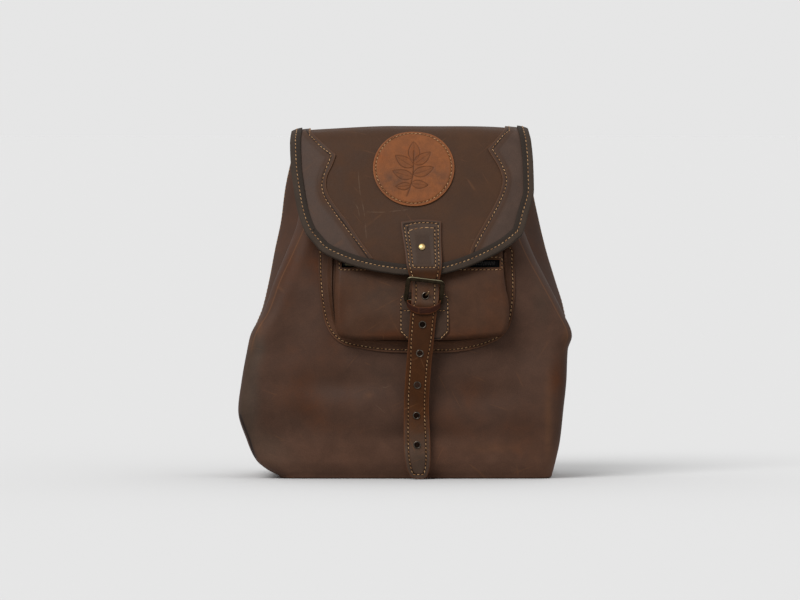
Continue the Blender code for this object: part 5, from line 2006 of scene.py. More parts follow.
class BuildPocket(bpy.types.Operator):
    """Bellows pocket with its zip and its stitches"""

    bl_idname = "rucksack.pocket"
    bl_label = "Pocket"

    def execute(self, context):
        shades = colours()
        self.face(shades)
        self.bellows(shades)
        self.zip(shades)
        return {"FINISHED"}

    def face(self, shades):
        """Front of the pocket, with an open window for the zip."""
        rise = 1.0 - np.cos(np.linspace(0.0, 0.5 * math.pi, 64))
        bottom = POCKET_LOW_Z + (WINDOW_LOW_Z - POCKET_LOW_Z) * rise
        window = np.linspace(WINDOW_LOW_Z, WINDOW_HIGH_Z, 7)[1:]
        above = np.linspace(WINDOW_HIGH_Z, POCKET_HIGH_Z, 7)[1:]
        level = np.concatenate((bottom, window, above))[:, None]
        left = POCKET_EDGES.read("left", level)
        right = POCKET_EDGES.read("right", level)
        left_break = np.maximum(WINDOW_LEFT, left + 3.0)
        right_break = np.minimum(WINDOW_RIGHT, right - 3.0)
        even = np.linspace(0.0, 1.0, 13)
        parts = (
            lerp(left, left_break, even[None, :] ** 1.3),
            lerp(left_break, right_break, np.linspace(0.0, 1.0, 82)[None, 1:]),
            lerp(right_break, right, 1.0 - (1.0 - even[None, 1:]) ** 1.3),
        )
        x = np.concatenate(parts, axis=1)
        z = level + pocket_rise(x, level)
        grid = pocket_surface(x, z)
        keep = np.ones((x.shape[0] - 1, x.shape[1] - 1), dtype=bool)
        keep[63:69, 12:93] = False
        plane = np.stack((x, z), axis=-1)
        row = self.window_route(WINDOW_SEAM)
        marks = {
            "rim": distance_to_routes(plane, [self.window_route(0.0)]),
            "row": distance_to_routes(plane, [row]),
            "tone": blobs(POCKET_TONES, x, z),
        }
        skin = leather(
            "Pocket leather", shades.pocket, seams=(("row", 0.0, 0.8, 1.0),), scale=15.0, amount=0.7,
            tones=True, edge=1.0, edge_amount=0.45,
        )
        mesh = grid_mesh("pocket_face", grid, marks, keep=keep)
        face = place_piece("pocket_face", mesh, skin, ("pocket_front",))
        thicken(face, 0.0014, -1.0, 0.0003)
        routes = [laid_on(pocket_surface, straight(start, end), 0.2) for start, end in zip(row[:-1], row[1:])]
        sew("pocket_window_stitches", routes, 81, bigger=0.9)

    def window_route(self, out):
        """Closed route round the zip's window, at a distance from it."""
        left = WINDOW_LEFT - out
        right = WINDOW_RIGHT + out
        low = WINDOW_LOW_Z - out
        high = WINDOW_HIGH_Z + out
        return np.array(((left, high), (left, low), (right, low), (right, high), (left, high)))

    def bellows(self, shades):
        """Folded side of the pocket and the flange that is sewn to the body."""
        face_ring = moved_out(ring_between(pocket_outline(), POCKET_FACE_CORNERS), -POCKET_RING_INSET)
        seam = ring_between(flowing(POCKET_SEAM, 1.0), POCKET_SEAM_CORNERS)
        foot_ring = moved_out(seam, POCKET_STITCH_INSET - POCKET_SEAM_WIDTH)
        out_ring = moved_out(seam, POCKET_STITCH_INSET)
        steps = np.concatenate((np.linspace(0.0, 1.0, 26), 1.0 + np.linspace(0.0, 1.0, 8)[1:]))[:, None]
        fold = np.clip(steps, 0.0, 1.0)
        flange = np.clip(steps - 1.0, 0.0, 1.0)[..., None]
        share = BELLOWS.read("share", fold)[..., None]
        plan = lerp(face_ring[None], foot_ring[None], share) + (out_ring - foot_ring)[None] * flange
        front_y = POCKET_FACE.read("y", face_ring[None, :, 1]) + POCKET_ROLL + 1.2
        foot_y = body_front(plan[..., 0], plan[..., 1]) - SEAM_ROOM - POCKET_THICK
        y = lerp(front_y, foot_y, np.where(steps > 1.0, 1.0, BELLOWS.read("back", fold)))
        grid = np.stack((plan[..., 0], y, plan[..., 1]), axis=-1)
        rim = (1.0 - flange[..., 0]) * POCKET_SEAM_WIDTH + (1.0 - fold) * 30.0
        hollows = np.exp(-((fold - 0.24) / 0.12) ** 2) + np.exp(-((fold - 0.5) / 0.1) ** 2)
        marks = {
            "rim": rim,
            "tone": 0.15 - 0.35 * hollows,
            # Paler lower part of the bellows: painted light that lifts its shade
            "paler": 0.45 * smooth(-plan[..., 1], -182.0, -168.0),
        }
        skin = leather(
            "Bellows leather", shades.pocket, seams=(("rim", POCKET_STITCH_INSET, 0.9, 1.0),), scale=20.0,
            amount=0.6,
            tones=True, paler=True, edge=0.8, edge_amount=0.25,
        )
        mesh = grid_mesh("pocket_bellows", grid, marks, closed=True)
        rework(mesh, face_front)
        piece = place_piece("pocket_bellows", mesh, skin, ("pocket_gusset",))
        thicken(piece, 0.0014, -1.0, 0.0003)
        sewn = flowing(POCKET_SEAM, 1.0)
        sew("pocket_seam_stitches", [laid_on(front_surface, sewn, SEAM_ROOM + POCKET_THICK + 0.2)], 83)

    def zip(self, shades):
        """Zip tape, two rows of coil teeth and the runner."""
        x = np.linspace(WINDOW_LEFT - 3.0, WINDOW_RIGHT + 3.0, 90)[None, :]
        z = np.linspace(WINDOW_LOW_Z - 2.0, WINDOW_HIGH_Z + 1.0, 12)[:, None]
        y = POCKET_FACE.read("y", z) + ZIP_TAPE_BACK + 0.0 * x
        grid = np.stack((np.broadcast_to(x, y.shape), y, np.broadcast_to(z, y.shape)), axis=-1)
        marks = {"rim": z - WINDOW_LOW_Z + 2.0, "along": x}
        cloth = tape_material("Zip tape", shades.zip, 0.9, stripe=0.5)
        piece = place_piece("zip_cloth", grid_mesh("zip_cloth", grid, marks), cloth, ("zip_tape",))
        thicken(piece, ZIP_TAPE_THICK * MM, -1.0, 0.0)
        middle_z = 0.5 * (WINDOW_LOW_Z + WINDOW_HIGH_Z)
        count = int((WINDOW_RIGHT - WINDOW_LEFT - 6.0) / ZIP_TOOTH_PITCH)
        teeth = [
            (WINDOW_LEFT + 3.0 + (k + 0.5 * row) * ZIP_TOOTH_PITCH, middle_z + offset)
            for row, offset in enumerate((-ZIP_ROW_UP, ZIP_ROW_UP)) for k in range(count)
        ]
        shape, shape_faces = stitch_shape()
        points = []
        for at, height in teeth:
            centre = np.array((at, float(POCKET_FACE.read("y", height)) + ZIP_TEETH_BACK, height))
            points.append(centre + shape * ZIP_TOOTH)
        mesh = mesh_of_copies("zip_teeth", np.vstack(points), len(shape), shape_faces)
        place_piece("zip_teeth", mesh, self.coil_material(shades), ("zip_chain",))
        self.runner(shades, middle_z)

    def coil_material(self, shades):
        material, tree, shader = new_material("Zip coil")
        place = object_place(tree)
        dust = cloud(tree, place, 420.0, 3.0, 0.6)
        colour = mix(tree, span(tree, dust, 0.4, 0.7), rgba(shades.zip), (0.045, 0.038, 0.034, 1.0))
        shine = span(tree, dust, 0.3, 0.7, 0.34, 0.55)
        join(tree, shader, Base_Color=colour, Roughness=shine, Normal=bumped(tree, dust, 0.0001, 0.4))
        return material

    def runner(self, shades, middle_z):
        """Small body of the zip's runner, with its bridge."""
        work = bmesh.new()
        y = float(POCKET_FACE.read("y", middle_z)) + 1.2
        for width, depth, height, forward in ((10.0, 1.5, 6.6, 0.0), (6.0, 1.2, 2.2, -1.3)):
            made = bmesh.ops.create_cube(work, size=1.0)["verts"]
            for vertex in made:
                taper = 1.0 if vertex.co.x > 0.0 else 0.72
                vertex.co = Vector((
                    (ZIP_RUNNER_X + vertex.co.x * width) * MM,
                    (y + forward + vertex.co.y * depth) * MM,
                    (middle_z + vertex.co.z * height * taper) * MM,
                ))
        mesh = bpy.data.meshes.new("zip_runner")
        work.to_mesh(mesh)
        work.free()
        mesh.shade_smooth()
        clean = colours().brass
        brass = metal_material("Antique brass", (0.10, 0.088, 0.052), clean, 0.17, 0.8)
        piece = place_piece("zip_runner", mesh, brass, ("zip_slider",))
        soften(piece, 0.0005, segments=3, least_angle=30.0)


class BuildStrap(bpy.types.Operator):
    """Closing strap with its eyelets, rivet and stitches"""

    bl_idname = "rucksack.strap"
    bl_label = "Closing strap"

    def execute(self, context):
        shades = colours()
        across = np.linspace(0.0, 1.0, 45)[None, :]
        tip = lerp(STRAP_LOW_Z, 14.0, 1.0 - np.cos(np.linspace(0.0, 0.5 * math.pi, 18)))
        z_rows = np.concatenate((tip, np.linspace(14.0, STRAP_TOP_Z, 331)[1:]))[:, None]
        half = STRAP.read("half_width", z_rows)
        x = STRAP.read("x", z_rows) + half * (2.0 * across - 1.0)
        arch = smooth(z_rows, STRAP_ARCH_FROM_Z, STRAP_TOP_Z)
        rise = 3.6 * (np.sin(math.pi * (0.1 + 0.72 * across)) - 1.0)
        z = z_rows + arch * rise
        grid = strap_surface(x, z)
        grid[..., 0] = x
        ends = np.minimum(half - np.abs(x - STRAP.read("x", z_rows)), STRAP_TOP_Z - z_rows)
        outline = [np.column_stack((x[::4, 0], z[::4, 0])), np.column_stack((x[::4, -1], z[::4, -1]))]
        low_edge = np.vstack((outline[0][:6][::-1], outline[1][:6]))
        near_tip = distance_to_routes(np.stack((x, z), axis=-1), [low_edge])
        rim = np.minimum(np.maximum(0.0, ends), near_tip)
        tab_row = np.abs(z - TAB_SEAM_Z)
        in_tab = (z > TAB_SEAM_Z + 3.0) & (z < 276.5)
        middle = np.abs(x - STRAP.read("x", z_rows) - 0.5)
        press = 0.6 * smooth(-middle, -9.6, -6.4) * smooth(z, 232.5, 237.0) * smooth(-z, -272.0, -264.0)
        in_buckle = smooth(z, 188.0, 195.0) * smooth(-z, -226.0, -216.0)
        marks = {
            "rim": rim,
            "sewn": rim - sewn_farther_in(z),
            "inner": np.where(in_tab, rim, FAR_FROM_EDGE),
            "row": np.where(half - middle > 5.0, tab_row, FAR_FROM_EDGE),
            "pressed": press,
            # Inside the buckle the strap is made greyer and paler: painted light that lifts the shade it sits in
            "tone": -0.4 * in_buckle - ramps(z, STRAP_GREYER),
            "paler": 0.42 * in_buckle + ramps(z, STRAP_PALER),
        }
        keep = np.ones((x.shape[0] - 1, x.shape[1] - 1), dtype=bool)
        centre_x = 0.25 * (x[:-1, :-1] + x[1:, :-1] + x[:-1, 1:] + x[1:, 1:])
        centre_z = 0.25 * (z[:-1, :-1] + z[1:, :-1] + z[:-1, 1:] + z[1:, 1:])
        for height in EYELETS_Z:
            far = np.hypot(centre_x - float(STRAP.read("x", height)), centre_z - height)
            keep &= far > EYELET_BARREL + EYELET_CUT
        skin = leather(
            "Strap leather", shades.strap,
            seams=(("sewn", STRAP_SEAM, 0.85, 1.0), ("inner", STRAP_SECOND_SEAM, 0.8, 1.0), ("row", 0.0, 0.8, 1.0)),
            scale=24.0, amount=0.6, gloss=0.44, tones=True, paler=True, pressed=True, edge=1.5,
            edge_amount=0.5,
            edge_colour=scaled(shades.worn, 0.62, 0.44, 0.32),
        )
        mesh = grid_mesh("closing_strap", grid, marks, keep=keep)
        strap = place_piece("closing_strap", mesh, skin, ("closure_strap",))
        thicken(strap, sizes().strap_thickness, -1.0, 0.0006)
        self.stitches()
        self.eyelets()
        self.rivet()
        return {"FINISHED"}

    def edge_line(self, inset, low, high, side):
        """Plane points beside one long edge of the strap."""
        z = np.arange(low, high, 1.2)
        half = STRAP.read("half_width", z) - sewn_farther_in(z)
        return np.column_stack((STRAP.read("x", z) + side * (half - inset), z))

    def stitches(self):
        """Rows along the edges, round the tip and across the tab."""
        left_rows = [self.edge_line(*row, -1.0) for row in STRAP_ROWS_LEFT]
        right_rows = [self.edge_line(*row, 1.0) for row in STRAP_ROWS_RIGHT]
        left = left_rows[0][0]
        right = right_rows[0][0]
        middle = 0.5 * (left[0] + right[0])
        tip = flowing((left, (middle - 6.0, 6.1), (middle, 5.5), (middle + 6.0, 6.1), right), 0.8)
        seam_x = float(STRAP.read("x", TAB_SEAM_Z))
        seam = straight((seam_x - TAB_SEAM_HALF, TAB_SEAM_Z), (seam_x + TAB_SEAM_HALF, TAB_SEAM_Z))
        rows = [*left_rows, *right_rows, tip, seam, flowing(TAB_TOP_ROW, 1.0)]
        sew("strap_stitches", [laid_on(strap_surface, row, 0.15) for row in rows], 91, bigger=0.95)
        top = laid_on(strap_surface, flowing(TAB_SECOND_TOP_ROW, 1.0), 0.2)
        sew("tab_top_stitches", [top], 97, bigger=1.1, longer=1.45, pitch=5.4)

    def eyelets(self):
        """Rolled metal rings in the strap's six holes."""
        top = 0.5 * STRAP_THICK + 0.25
        crest = top + EYELET_RIM
        middle = 0.5 * (EYELET_FLANGE + EYELET_HOLE)
        roll = 0.5 * (EYELET_FLANGE - EYELET_HOLE)
        profile = [(EYELET_FLANGE - 0.1, top)]
        for turn in np.linspace(0.0, math.pi, 9):
            profile.append((middle + roll * math.cos(turn), crest - 0.45 + 0.55 * math.sin(turn)))
        profile += [(EYELET_HOLE, top - 0.4), (EYELET_HOLE, -top), (EYELET_FLANGE - 0.4, -top - 0.5)]
        profile += [(EYELET_FLANGE - 0.4, -top), (EYELET_BARREL, -top), (EYELET_BARREL, top - 0.2)]
        material = metal_material("Eyelet metal", (0.15, 0.125, 0.10), (0.030, 0.025, 0.020), 0.26, 0.95)
        for number, z in enumerate(EYELETS_Z, start=1):
            name = "eyelet_ring_%d" % number
            mesh = turned_mesh(name, profile[::-1], 36, closed=True)
            point, normal = strap_place(STRAP.read("x", z), z)
            stand_on(mesh, point, normal, -0.5 * STRAP_THICK)
            place_piece(name, mesh, material, ("eyelet_%d" % number,))

    def rivet(self):
        """Domed brass head."""
        dome = [(0.0, 2.25)]
        for turn in np.linspace(0.5 * math.pi, 0.0, 12)[1:]:
            dome.append((RIVET_RADIUS * math.cos(turn), 0.55 + 1.7 * math.sin(turn)))
        profile = dome + [(RIVET_RADIUS - 0.15, 0.2), (RIVET_RADIUS - 0.5, 0.0), (0.0, 0.0)]
        mesh = turned_mesh("rivet_head", profile, 40, closed=False)
        point, normal = strap_place(RIVET_X, RIVET_Z)
        stand_on(mesh, point, normal, 0.1)
        bright = colours().rivet
        material = metal_material("Rivet brass", bright, scaled(bright, 0.7, 0.6, 0.45), 0.33, 0.7)
        place_piece("rivet_head", mesh, material, ("strap_rivet",))


class BuildBuckle(bpy.types.Operator):
    """Buckle, its tongue, the strap's loop and the patch behind"""

    bl_idname = "rucksack.buckle"
    bl_label = "Buckle"

    def execute(self, context):
        self.ring()
        self.tongue()
        self.keeper()
        self.chape()
        return {"FINISHED"}

    def buckle_point(self, across, up):
        """Place in the buckle's own plane, from its centre, turned a little clockwise."""
        high = 0.5 * (BUCKLE_TOP_Z - BUCKLE_LOW_Z)
        turned_x = across * math.cos(BUCKLE_TURN) + up * math.sin(BUCKLE_TURN)
        turned_z = up * math.cos(BUCKLE_TURN) - across * math.sin(BUCKLE_TURN)
        y = lerp(BUCKLE_LOW_Y, BUCKLE_TOP_Y, 0.5 + 0.5 * up / high)
        return BUCKLE_X + turned_x, y, 0.5 * (BUCKLE_TOP_Z + BUCKLE_LOW_Z) + turned_z

    def ring(self):
        half_width = 0.5 * BUCKLE_WIDTH
        half_height = 0.5 * (BUCKLE_TOP_Z - BUCKLE_LOW_Z)
        outline = []
        for corner, (sx, sz) in enumerate(((1, 1), (-1, 1), (-1, -1), (1, -1))):
            for share in np.linspace(0.0, 1.0, 9):
                angle = 0.5 * math.pi * (corner + share)
                across = sx * (half_width - BUCKLE_CORNER) + BUCKLE_CORNER * math.cos(angle)
                up = sz * (half_height - BUCKLE_CORNER) + BUCKLE_CORNER * math.sin(angle)
                outline.append((across, up))
        outline = np.array(outline + outline[:1])
        chord = distances(outline)
        spots = read_along(np.linspace(0.0, chord[-1], 141)[:-1], chord, outline)
        points = [self.buckle_point(across, up) for across, up in spots]
        side_bar = 1.0 - smooth(np.abs(spots[:, 1]), half_height - 3.5, half_height - 0.5)
        wide = lerp(BUCKLE_BAR, BUCKLE_SIDE_BAR, side_bar)
        lean = (0.0, -(BUCKLE_TOP_Z - BUCKLE_LOW_Z), BUCKLE_TOP_Y - BUCKLE_LOW_Y)
        mesh = tube_mesh("buckle_ring", points, wide, BUCKLE_DEPTH, 26, lean, closed=True, squareness=2.8)
        # Faces that look up along the buckle get the highlight colour: a painted highlight
        facing = np.empty(3 * len(mesh.vertices), dtype=np.float32)
        mesh.vertex_normals.foreach_get("vector", facing)
        rise = unit(np.array((0.0, BUCKLE_TOP_Y - BUCKLE_LOW_Y, BUCKLE_TOP_Z - BUCKLE_LOW_Z)))
        set_mark(mesh, "painted_highlight", smooth(facing.reshape(-1, 3) @ rise, 0.45, 0.9))
        brass = colours().brass
        material = metal_material("Buckle brass", brass, darker(brass, 0.5), 0.22, 0.8, TOP_HIGHLIGHT_BRASS)
        place_piece("buckle_ring", mesh, material, ("buckle_frame",))

    def tongue(self):
        route = flowing(TONGUE_ROUTE, 0.5)
        share = np.linspace(0.0, 1.0, len(route))
        radii = TONGUE_RADIUS * (1.0 - 0.2 * share) * np.sqrt(np.clip((1.0 - share) / 0.08, 0.02, 1.0))
        radii = radii * np.sqrt(np.clip(share / 0.05, 0.02, 1.0))
        mesh = tube_mesh("buckle_tongue", route, radii, radii, 14, (0.0, -1.0, 0.15))
        material = metal_material("Tongue bronze", TONGUE_BRONZE, (0.09, 0.05, 0.025), 0.26, 0.6)
        place_piece("buckle_tongue", mesh, material, ("buckle_prong",))

    def keeper(self):
        """Loop that holds the strap, sagging in front, with its butted ends."""
        shades = colours()
        half_depth = 0.5 * (KEEPER_BACK_Y - KEEPER_FRONT_Y)
        middle_y = 0.5 * (KEEPER_BACK_Y + KEEPER_FRONT_Y)
        turn = np.linspace(0.0, 2.0 * math.pi, 150, endpoint=False)[None, :]
        cx, cy = squared_round(turn, 5.0)
        up = np.linspace(-0.5, 0.5, 16)[:, None]
        x = KEEPER_X + 0.5 * KEEPER_WIDTH * cx
        front = smooth(-cy, -0.2, 0.9)
        rise = np.where(cy < 0.0, np.abs(cx) ** 2.6, 1.0)
        z = KEEPER_Z + (KEEPER_HEIGHT - 1.6 * rise) * up + KEEPER_RISE * rise - 1.2 * front
        y = middle_y + half_depth * cy + 0.35 * (2.0 * np.abs(up)) ** 4 * front
        joint = np.exp(-((x - 15.6) / 1.1) ** 2) * front
        y = y - 0.8 * smooth(x, 15.0, 15.9) * (1.0 - smooth(x, 20.0, 34.0)) * front
        grid = np.stack((x + 0.0 * up, y, z), axis=-1)
        lap = np.where(front > 0.5, np.abs(x - 14.8), FAR_FROM_EDGE)
        marks = {"rim": np.minimum((0.5 - np.abs(up)) * KEEPER_HEIGHT, lap), "pressed": joint}
        # The light edge colour is partly rubbed edges, partly a painted highlight on the loop's rims
        skin = leather(
            "Keeper leather", shades.keeper, scale=40.0, amount=0.3, gloss=0.46, pressed=True, edge=1.7,
            edge_amount=0.8, edge_colour=tone(88, 54, 36),
        )
        mesh = grid_mesh("keeper_loop", grid, marks, closed=True)
        loop = place_piece("keeper_loop", mesh, skin, ("strap_keeper",))
        thicken(loop, KEEPER_THICK * MM, -1.0, 0.0003)

    def chape(self):
        """Eight-sided patch that holds the buckle, with its stitches."""
        shades = colours()
        z = np.linspace(CHAPE_CORNER_Z[0], CHAPE_CORNER_Z[-1], 56)[:, None]
        half = np.interp(z, CHAPE_CORNER_Z, CHAPE_CORNER_HALF)
        x = CHAPE_X + half * (2.0 * np.linspace(0.0, 1.0, 50)[None, :] - 1.0)
        corners = [
            np.array((CHAPE_X + side * half_width, height))
            for side in (-1.0, 1.0)
            for height, half_width in zip(CHAPE_CORNER_Z, CHAPE_CORNER_HALF)
        ]
        left, right = corners[:4], corners[4:]
        outline = np.array(left + right[::-1] + left[:1])
        plane = np.stack((x, np.broadcast_to(z, x.shape)), axis=-1)
        rim = distance_to_routes(plane, [outline])
        row = np.where(np.abs(x - CHAPE_X) > 15.0, np.abs(z - CHAPE_ROW_Z), FAR_FROM_EDGE)
        skin = leather(
            "Chape leather", shades.chape, seams=(("rim", CHAPE_SEAM, 0.85, 1.0), ("row", 0.0, 0.8, 1.0)),
            scale=22.0,
            amount=0.5, edge=0.9, edge_amount=0.3, warm=shades.pocket,
        )
        grid = chape_surface(x, z)
        grid[..., 1] += 0.5 * np.clip(1.0 - rim / 1.6, 0.0, 1.0) ** 2
        mesh = grid_mesh("chape_patch", grid, {"rim": rim, "row": row})
        patch = place_piece("chape_patch", mesh, skin, ("buckle_chape",))
        thicken(patch, CHAPE_THICK * MM, -1.0, 0.0003)
        routes = []
        for side in (left, right):
            sign = -1.0 if side is left else 1.0
            inner = [(point[0] - sign * CHAPE_SEAM, point[1]) for point in side]
            inner[0] = (side[0][0] - sign * 0.4, side[0][1] + CHAPE_SEAM)
            inner[-1] = (side[-1][0] - sign * 1.6, side[-1][1] - CHAPE_SEAM)
            for start, end in zip(inner[:-1], inner[1:]):
                routes.append(laid_on(chape_surface, straight(start, end, 0.8), 0.2))
            ends = [(CHAPE_X + sign * reach, CHAPE_ROW_Z) for reach in CHAPE_ROW_REACH]
            routes.append(laid_on(chape_surface, straight(*ends, 0.8), 0.2))
        sew("chape_stitches", routes, 101)


class BuildCarrying(bpy.types.Operator):
    """Anchor patch, shoulder straps and their lower tabs"""

    bl_idname = "rucksack.carrying"
    bl_label = "Carrying straps"

    def execute(self, context):
        shades = colours()
        skin = leather(
            "Carrying leather", shades.flap, seams=(("rim", CARRYING_SEAM, 0.9, 1.0),), scale=18.0,
            amount=0.8,
            scratches=0.35, edge=1.6, edge_amount=0.6,
        )
        self.patch("anchor_patch", "strap_anchor", 0.0, ANCHOR_HALF_WIDTH, ANCHOR_LOW_Z, ANCHOR_HIGH_Z, skin)
        for side, sign in (("left", -1.0), ("right", 1.0)):
            self.patch(
                "end_tab_" + side, "strap_tab_" + side, sign * TAB_X, TAB_HALF_WIDTH, TAB_LOW_Z, TAB_HIGH_Z,
                skin,
            )
            self.carry(side, sign, skin)
        return {"FINISHED"}

    def patch(self, name, node, centre_x, half_width, low, high, skin):
        """Flat stitched patch on the back panel."""
        across = np.linspace(0.0, 1.0, 48)[None, :]
        z = np.linspace(low, high, 40)[:, None]
        x = centre_x + lerp(half_width, -half_width, across)
        y = panel_back(x, z) + BACK_PATCH_LIFT + 0.0 * x
        rim = np.minimum(np.minimum(across, 1.0 - across) * 2.0 * half_width, np.minimum(z - low, high - z))
        y = y - 0.5 * np.clip(1.0 - rim / 1.5, 0.0, 1.0) ** 2
        grid = np.stack((x + 0.0 * z, y, z + 0.0 * x), axis=-1)
        mesh = grid_mesh(name, grid, {"rim": rim})
        piece = place_piece(name, mesh, skin, (node,))
        thicken(piece, 0.002, -1.0, 0.0004)

        inset = CARRYING_SEAM
        left = centre_x - half_width + inset
        right = centre_x + half_width - inset
        corners = ((left, low + inset), (right, low + inset), (right, high - inset), (left, high - inset))
        face = back_raised(BACK_PATCH_LIFT)
        sides = zip(corners, corners[1:] + corners[:1])
        routes = [laid_on(face, straight(a, b), 0.2, -1.0) for a, b in sides]
        sew(name + "_stitches", routes, 111)

    def carry(self, side, sign, skin):
        """Shoulder strap, sewn along both edges."""
        down_way = np.array((sign * math.sin(SHOULDER_LEAN), 0.0, -math.cos(SHOULDER_LEAN)))
        across_way = np.array((math.cos(SHOULDER_LEAN), 0.0, sign * math.sin(SHOULDER_LEAN)))
        start = np.array((sign * SHOULDER_TOP_X, BACK_Y + GAP + PANEL_THICK, SHOULDER_TOP_Z))
        along = np.linspace(0.0, 1.0, 260)
        middle = start + down_way * SHOULDER.read("down", along)[:, None]
        middle[:, 1] += SHOULDER.read("out", along)
        chord = distances(middle)
        even = np.interp(np.linspace(0.0, chord[-1], 260), chord, along)
        middle = start + down_way * SHOULDER.read("down", even)[:, None]
        middle[:, 1] += SHOULDER.read("out", even)
        out = unit(np.cross(across_way, np.gradient(middle, axis=0)))
        across = np.linspace(-0.5, 0.5, 26)
        crown = 0.8 * (1.0 - (2.0 * np.abs(across)) ** 4)
        face = middle[:, None] - across_way * SHOULDER_WIDTH * across[None, :, None]
        upper = face + out[:, None] * (0.5 * SHOULDER_THICK - 0.8 + crown)[None, :, None]
        lower = face - out[:, None] * (0.5 * SHOULDER_THICK - 0.8 + crown)[None, ::-1, None]
        ring = np.concatenate((upper, lower[:, ::-1]), axis=1)
        edge = (0.5 - np.abs(across)) * SHOULDER_WIDTH
        rim = np.concatenate((edge, edge[::-1]))
        mesh = grid_mesh("carry_strap_" + side, ring, {"rim": rim}, closed=True)
        rework(mesh, close_ends)
        piece = place_piece("carry_strap_" + side, mesh, skin, ("shoulder_strap_" + side,))
        soften(piece, 0.0005, harden=False)
        routes = []
        for place in (-1.0, 1.0):
            line = middle + across_way * place * (0.5 * SHOULDER_WIDTH - CARRYING_SEAM)
            for face_way in (1.0, -1.0):
                lift = 0.5 * SHOULDER_THICK + 0.1
                routes.append((line + out * face_way * lift, out * face_way))
        sew("carry_stitches_" + side, routes, 121)


# Share of the floor's own brightness that the light thrown back by it has
FLOOR_BOUNCE = 0.72
FLOOR_HALF = 1000.0

# Directions that the two lamps shine from, and how many degrees wide they are
KEY_WAY = (-0.55, -0.85, 0.95)
KEY_SPREAD = 32.0
FILL_WAY = (0.9, -0.8, 0.55)
FILL_SPREAD = 50.0
CAMERA_AIM = (-0.006, -0.08, 0.196)


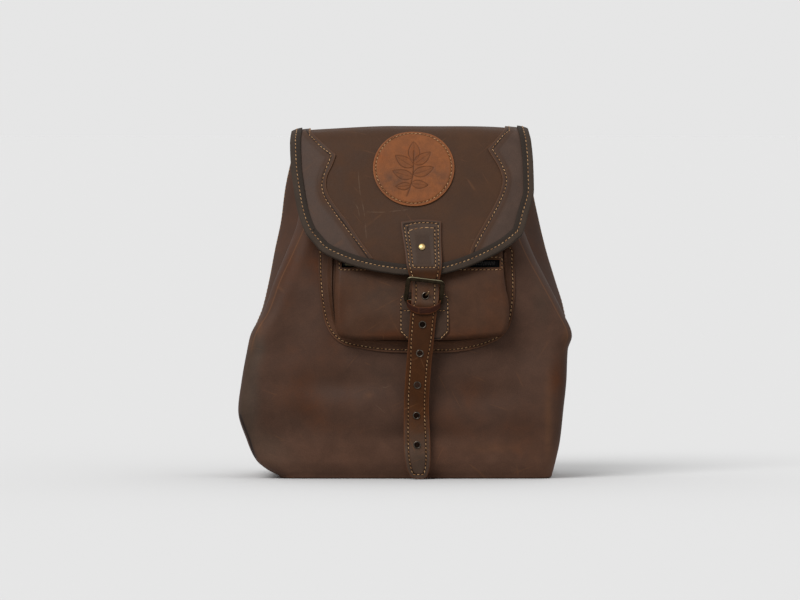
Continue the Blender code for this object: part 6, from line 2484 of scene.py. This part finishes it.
class BuildStudio(bpy.types.Operator):
    """Plain floor, soft light and the camera"""

    bl_idname = "rucksack.studio"
    bl_label = "Studio"

    def execute(self, context):
        studio = context.scene.rucksack_studio
        self.floor(studio)
        self.light(context, studio)
        self.camera(context, studio)
        return {"FINISHED"}

    def floor(self, studio):
        clear_piece("studio_floor")
        half = FLOOR_HALF
        corners = [(-half, -half, 0.0), (half, -half, 0.0), (half, half, 0.0), (-half, half, 0.0)]
        mesh = bpy.data.meshes.new("studio_floor")
        mesh.from_pydata(corners, [], [(0, 1, 2, 3)])
        material, tree, shader = new_material("Studio floor")
        seen = add_node(tree, "LightPath").outputs["Is Camera Ray"]
        colour = mix(tree, seen, darker(studio.floor, FLOOR_BOUNCE), rgba(studio.floor))
        join(tree, shader, Base_Color=colour, Roughness=1.0, Specular_IOR_Level=0.0)
        mesh.materials.append(material)
        floor = bpy.data.objects.new("studio_floor", mesh)
        bpy.context.scene.collection.objects.link(floor)

    def light(self, context, studio):
        world = bpy.data.worlds.new("Studio")
        world.use_nodes = True
        tree = world.node_tree
        tree.nodes.clear()
        way = add_node(tree, "SeparateXYZ", {0: add_node(tree, "TexCoord").outputs["Generated"]}).outputs
        path = add_node(tree, "LightPath").outputs
        rear = span(tree, way["Y"], -0.1, 0.9, 0.0, studio.back_light)
        rear = minus(tree, rear, path["Is Glossy Ray"], True)
        lit = plus(tree, span(tree, way["Z"], -0.1, 0.9, 0.32, 0.90), rear)
        flat = (studio.backdrop, studio.backdrop, studio.backdrop, 1.0)
        colour = mix(tree, path["Is Camera Ray"], add_grey(tree, lit), flat)
        back = add_node(tree, "Background", {"Color": colour, "Strength": 1.0})
        out = tree.nodes.new("ShaderNodeOutputWorld")
        tree.links.new(back.outputs[0], out.inputs["Surface"])
        context.scene.world = world
        context.scene.view_settings.view_transform = "Standard"
        lamps = (
            ("key_light", studio.key_light, KEY_WAY, KEY_SPREAD),
            ("fill_light", studio.fill_light, FILL_WAY, FILL_SPREAD),
        )
        for name, strength, way, spread in lamps:
            clear_piece(name)
            lamp = bpy.data.lights.new(name, "SUN")
            lamp.energy = strength
            lamp.angle = math.radians(spread)
            item = bpy.data.objects.new(name, lamp)
            item.rotation_mode = "QUATERNION"
            item.rotation_quaternion = Vector(way).to_track_quat("Z", "Y")
            context.scene.collection.objects.link(item)

    def camera(self, context, studio):
        clear_piece("camera")
        camera = bpy.data.cameras.new("camera")
        camera.lens = studio.lens
        camera.sensor_width = 36.0
        item = bpy.data.objects.new("camera", camera)
        aim = Vector(CAMERA_AIM)
        back = Vector((0.0, -math.cos(studio.elevation), math.sin(studio.elevation)))
        item.location = aim + back * studio.distance
        item.rotation_mode = "QUATERNION"
        item.rotation_quaternion = back.to_track_quat("Z", "Y")
        camera.clip_start = 0.1
        camera.clip_end = 4000.0
        context.scene.collection.objects.link(item)
        context.scene.camera = item


class RucksackPanel(bpy.types.Panel):
    """Rucksack tools in the 3D view's sidebar"""

    bl_idname = "VIEW3D_PT_rucksack"
    bl_label = "Leather rucksack"
    bl_space_type = "VIEW_3D"
    bl_region_type = "UI"
    bl_category = "Rucksack"

    def draw(self, context):
        layout = self.layout
        for maker in MAKERS:
            layout.operator(maker.bl_idname)
        for title, settings in (
            ("Sizes", context.scene.rucksack_sizes),
            ("Colours", context.scene.rucksack_colours),
            ("Studio", context.scene.rucksack_studio),
        ):
            layout.label(text=title)
            for key in settings.__annotations__:
                layout.prop(settings, key)


SETTINGS = (RucksackSizes, RucksackColours, RucksackStudio)
MAKERS = (BuildBody, BuildFlap, BuildPatch, BuildPocket, BuildStrap, BuildBuckle, BuildCarrying, BuildStudio)


def register():
    for item in (*SETTINGS, *MAKERS, RucksackPanel):
        bpy.utils.register_class(item)
    bpy.types.Scene.rucksack_sizes = PointerProperty(type=RucksackSizes)
    bpy.types.Scene.rucksack_colours = PointerProperty(type=RucksackColours)
    bpy.types.Scene.rucksack_studio = PointerProperty(type=RucksackStudio)


def unregister():
    del bpy.types.Scene.rucksack_studio
    del bpy.types.Scene.rucksack_colours
    del bpy.types.Scene.rucksack_sizes
    for item in reversed((*SETTINGS, *MAKERS, RucksackPanel)):
        bpy.utils.unregister_class(item)


def main():
    register()
    bpy.ops.rucksack.body()
    bpy.ops.rucksack.flap()
    bpy.ops.rucksack.patch()
    bpy.ops.rucksack.pocket()
    bpy.ops.rucksack.strap()
    bpy.ops.rucksack.buckle()
    bpy.ops.rucksack.carrying()
    bpy.ops.rucksack.studio()


if __name__ == "__main__":
    main()
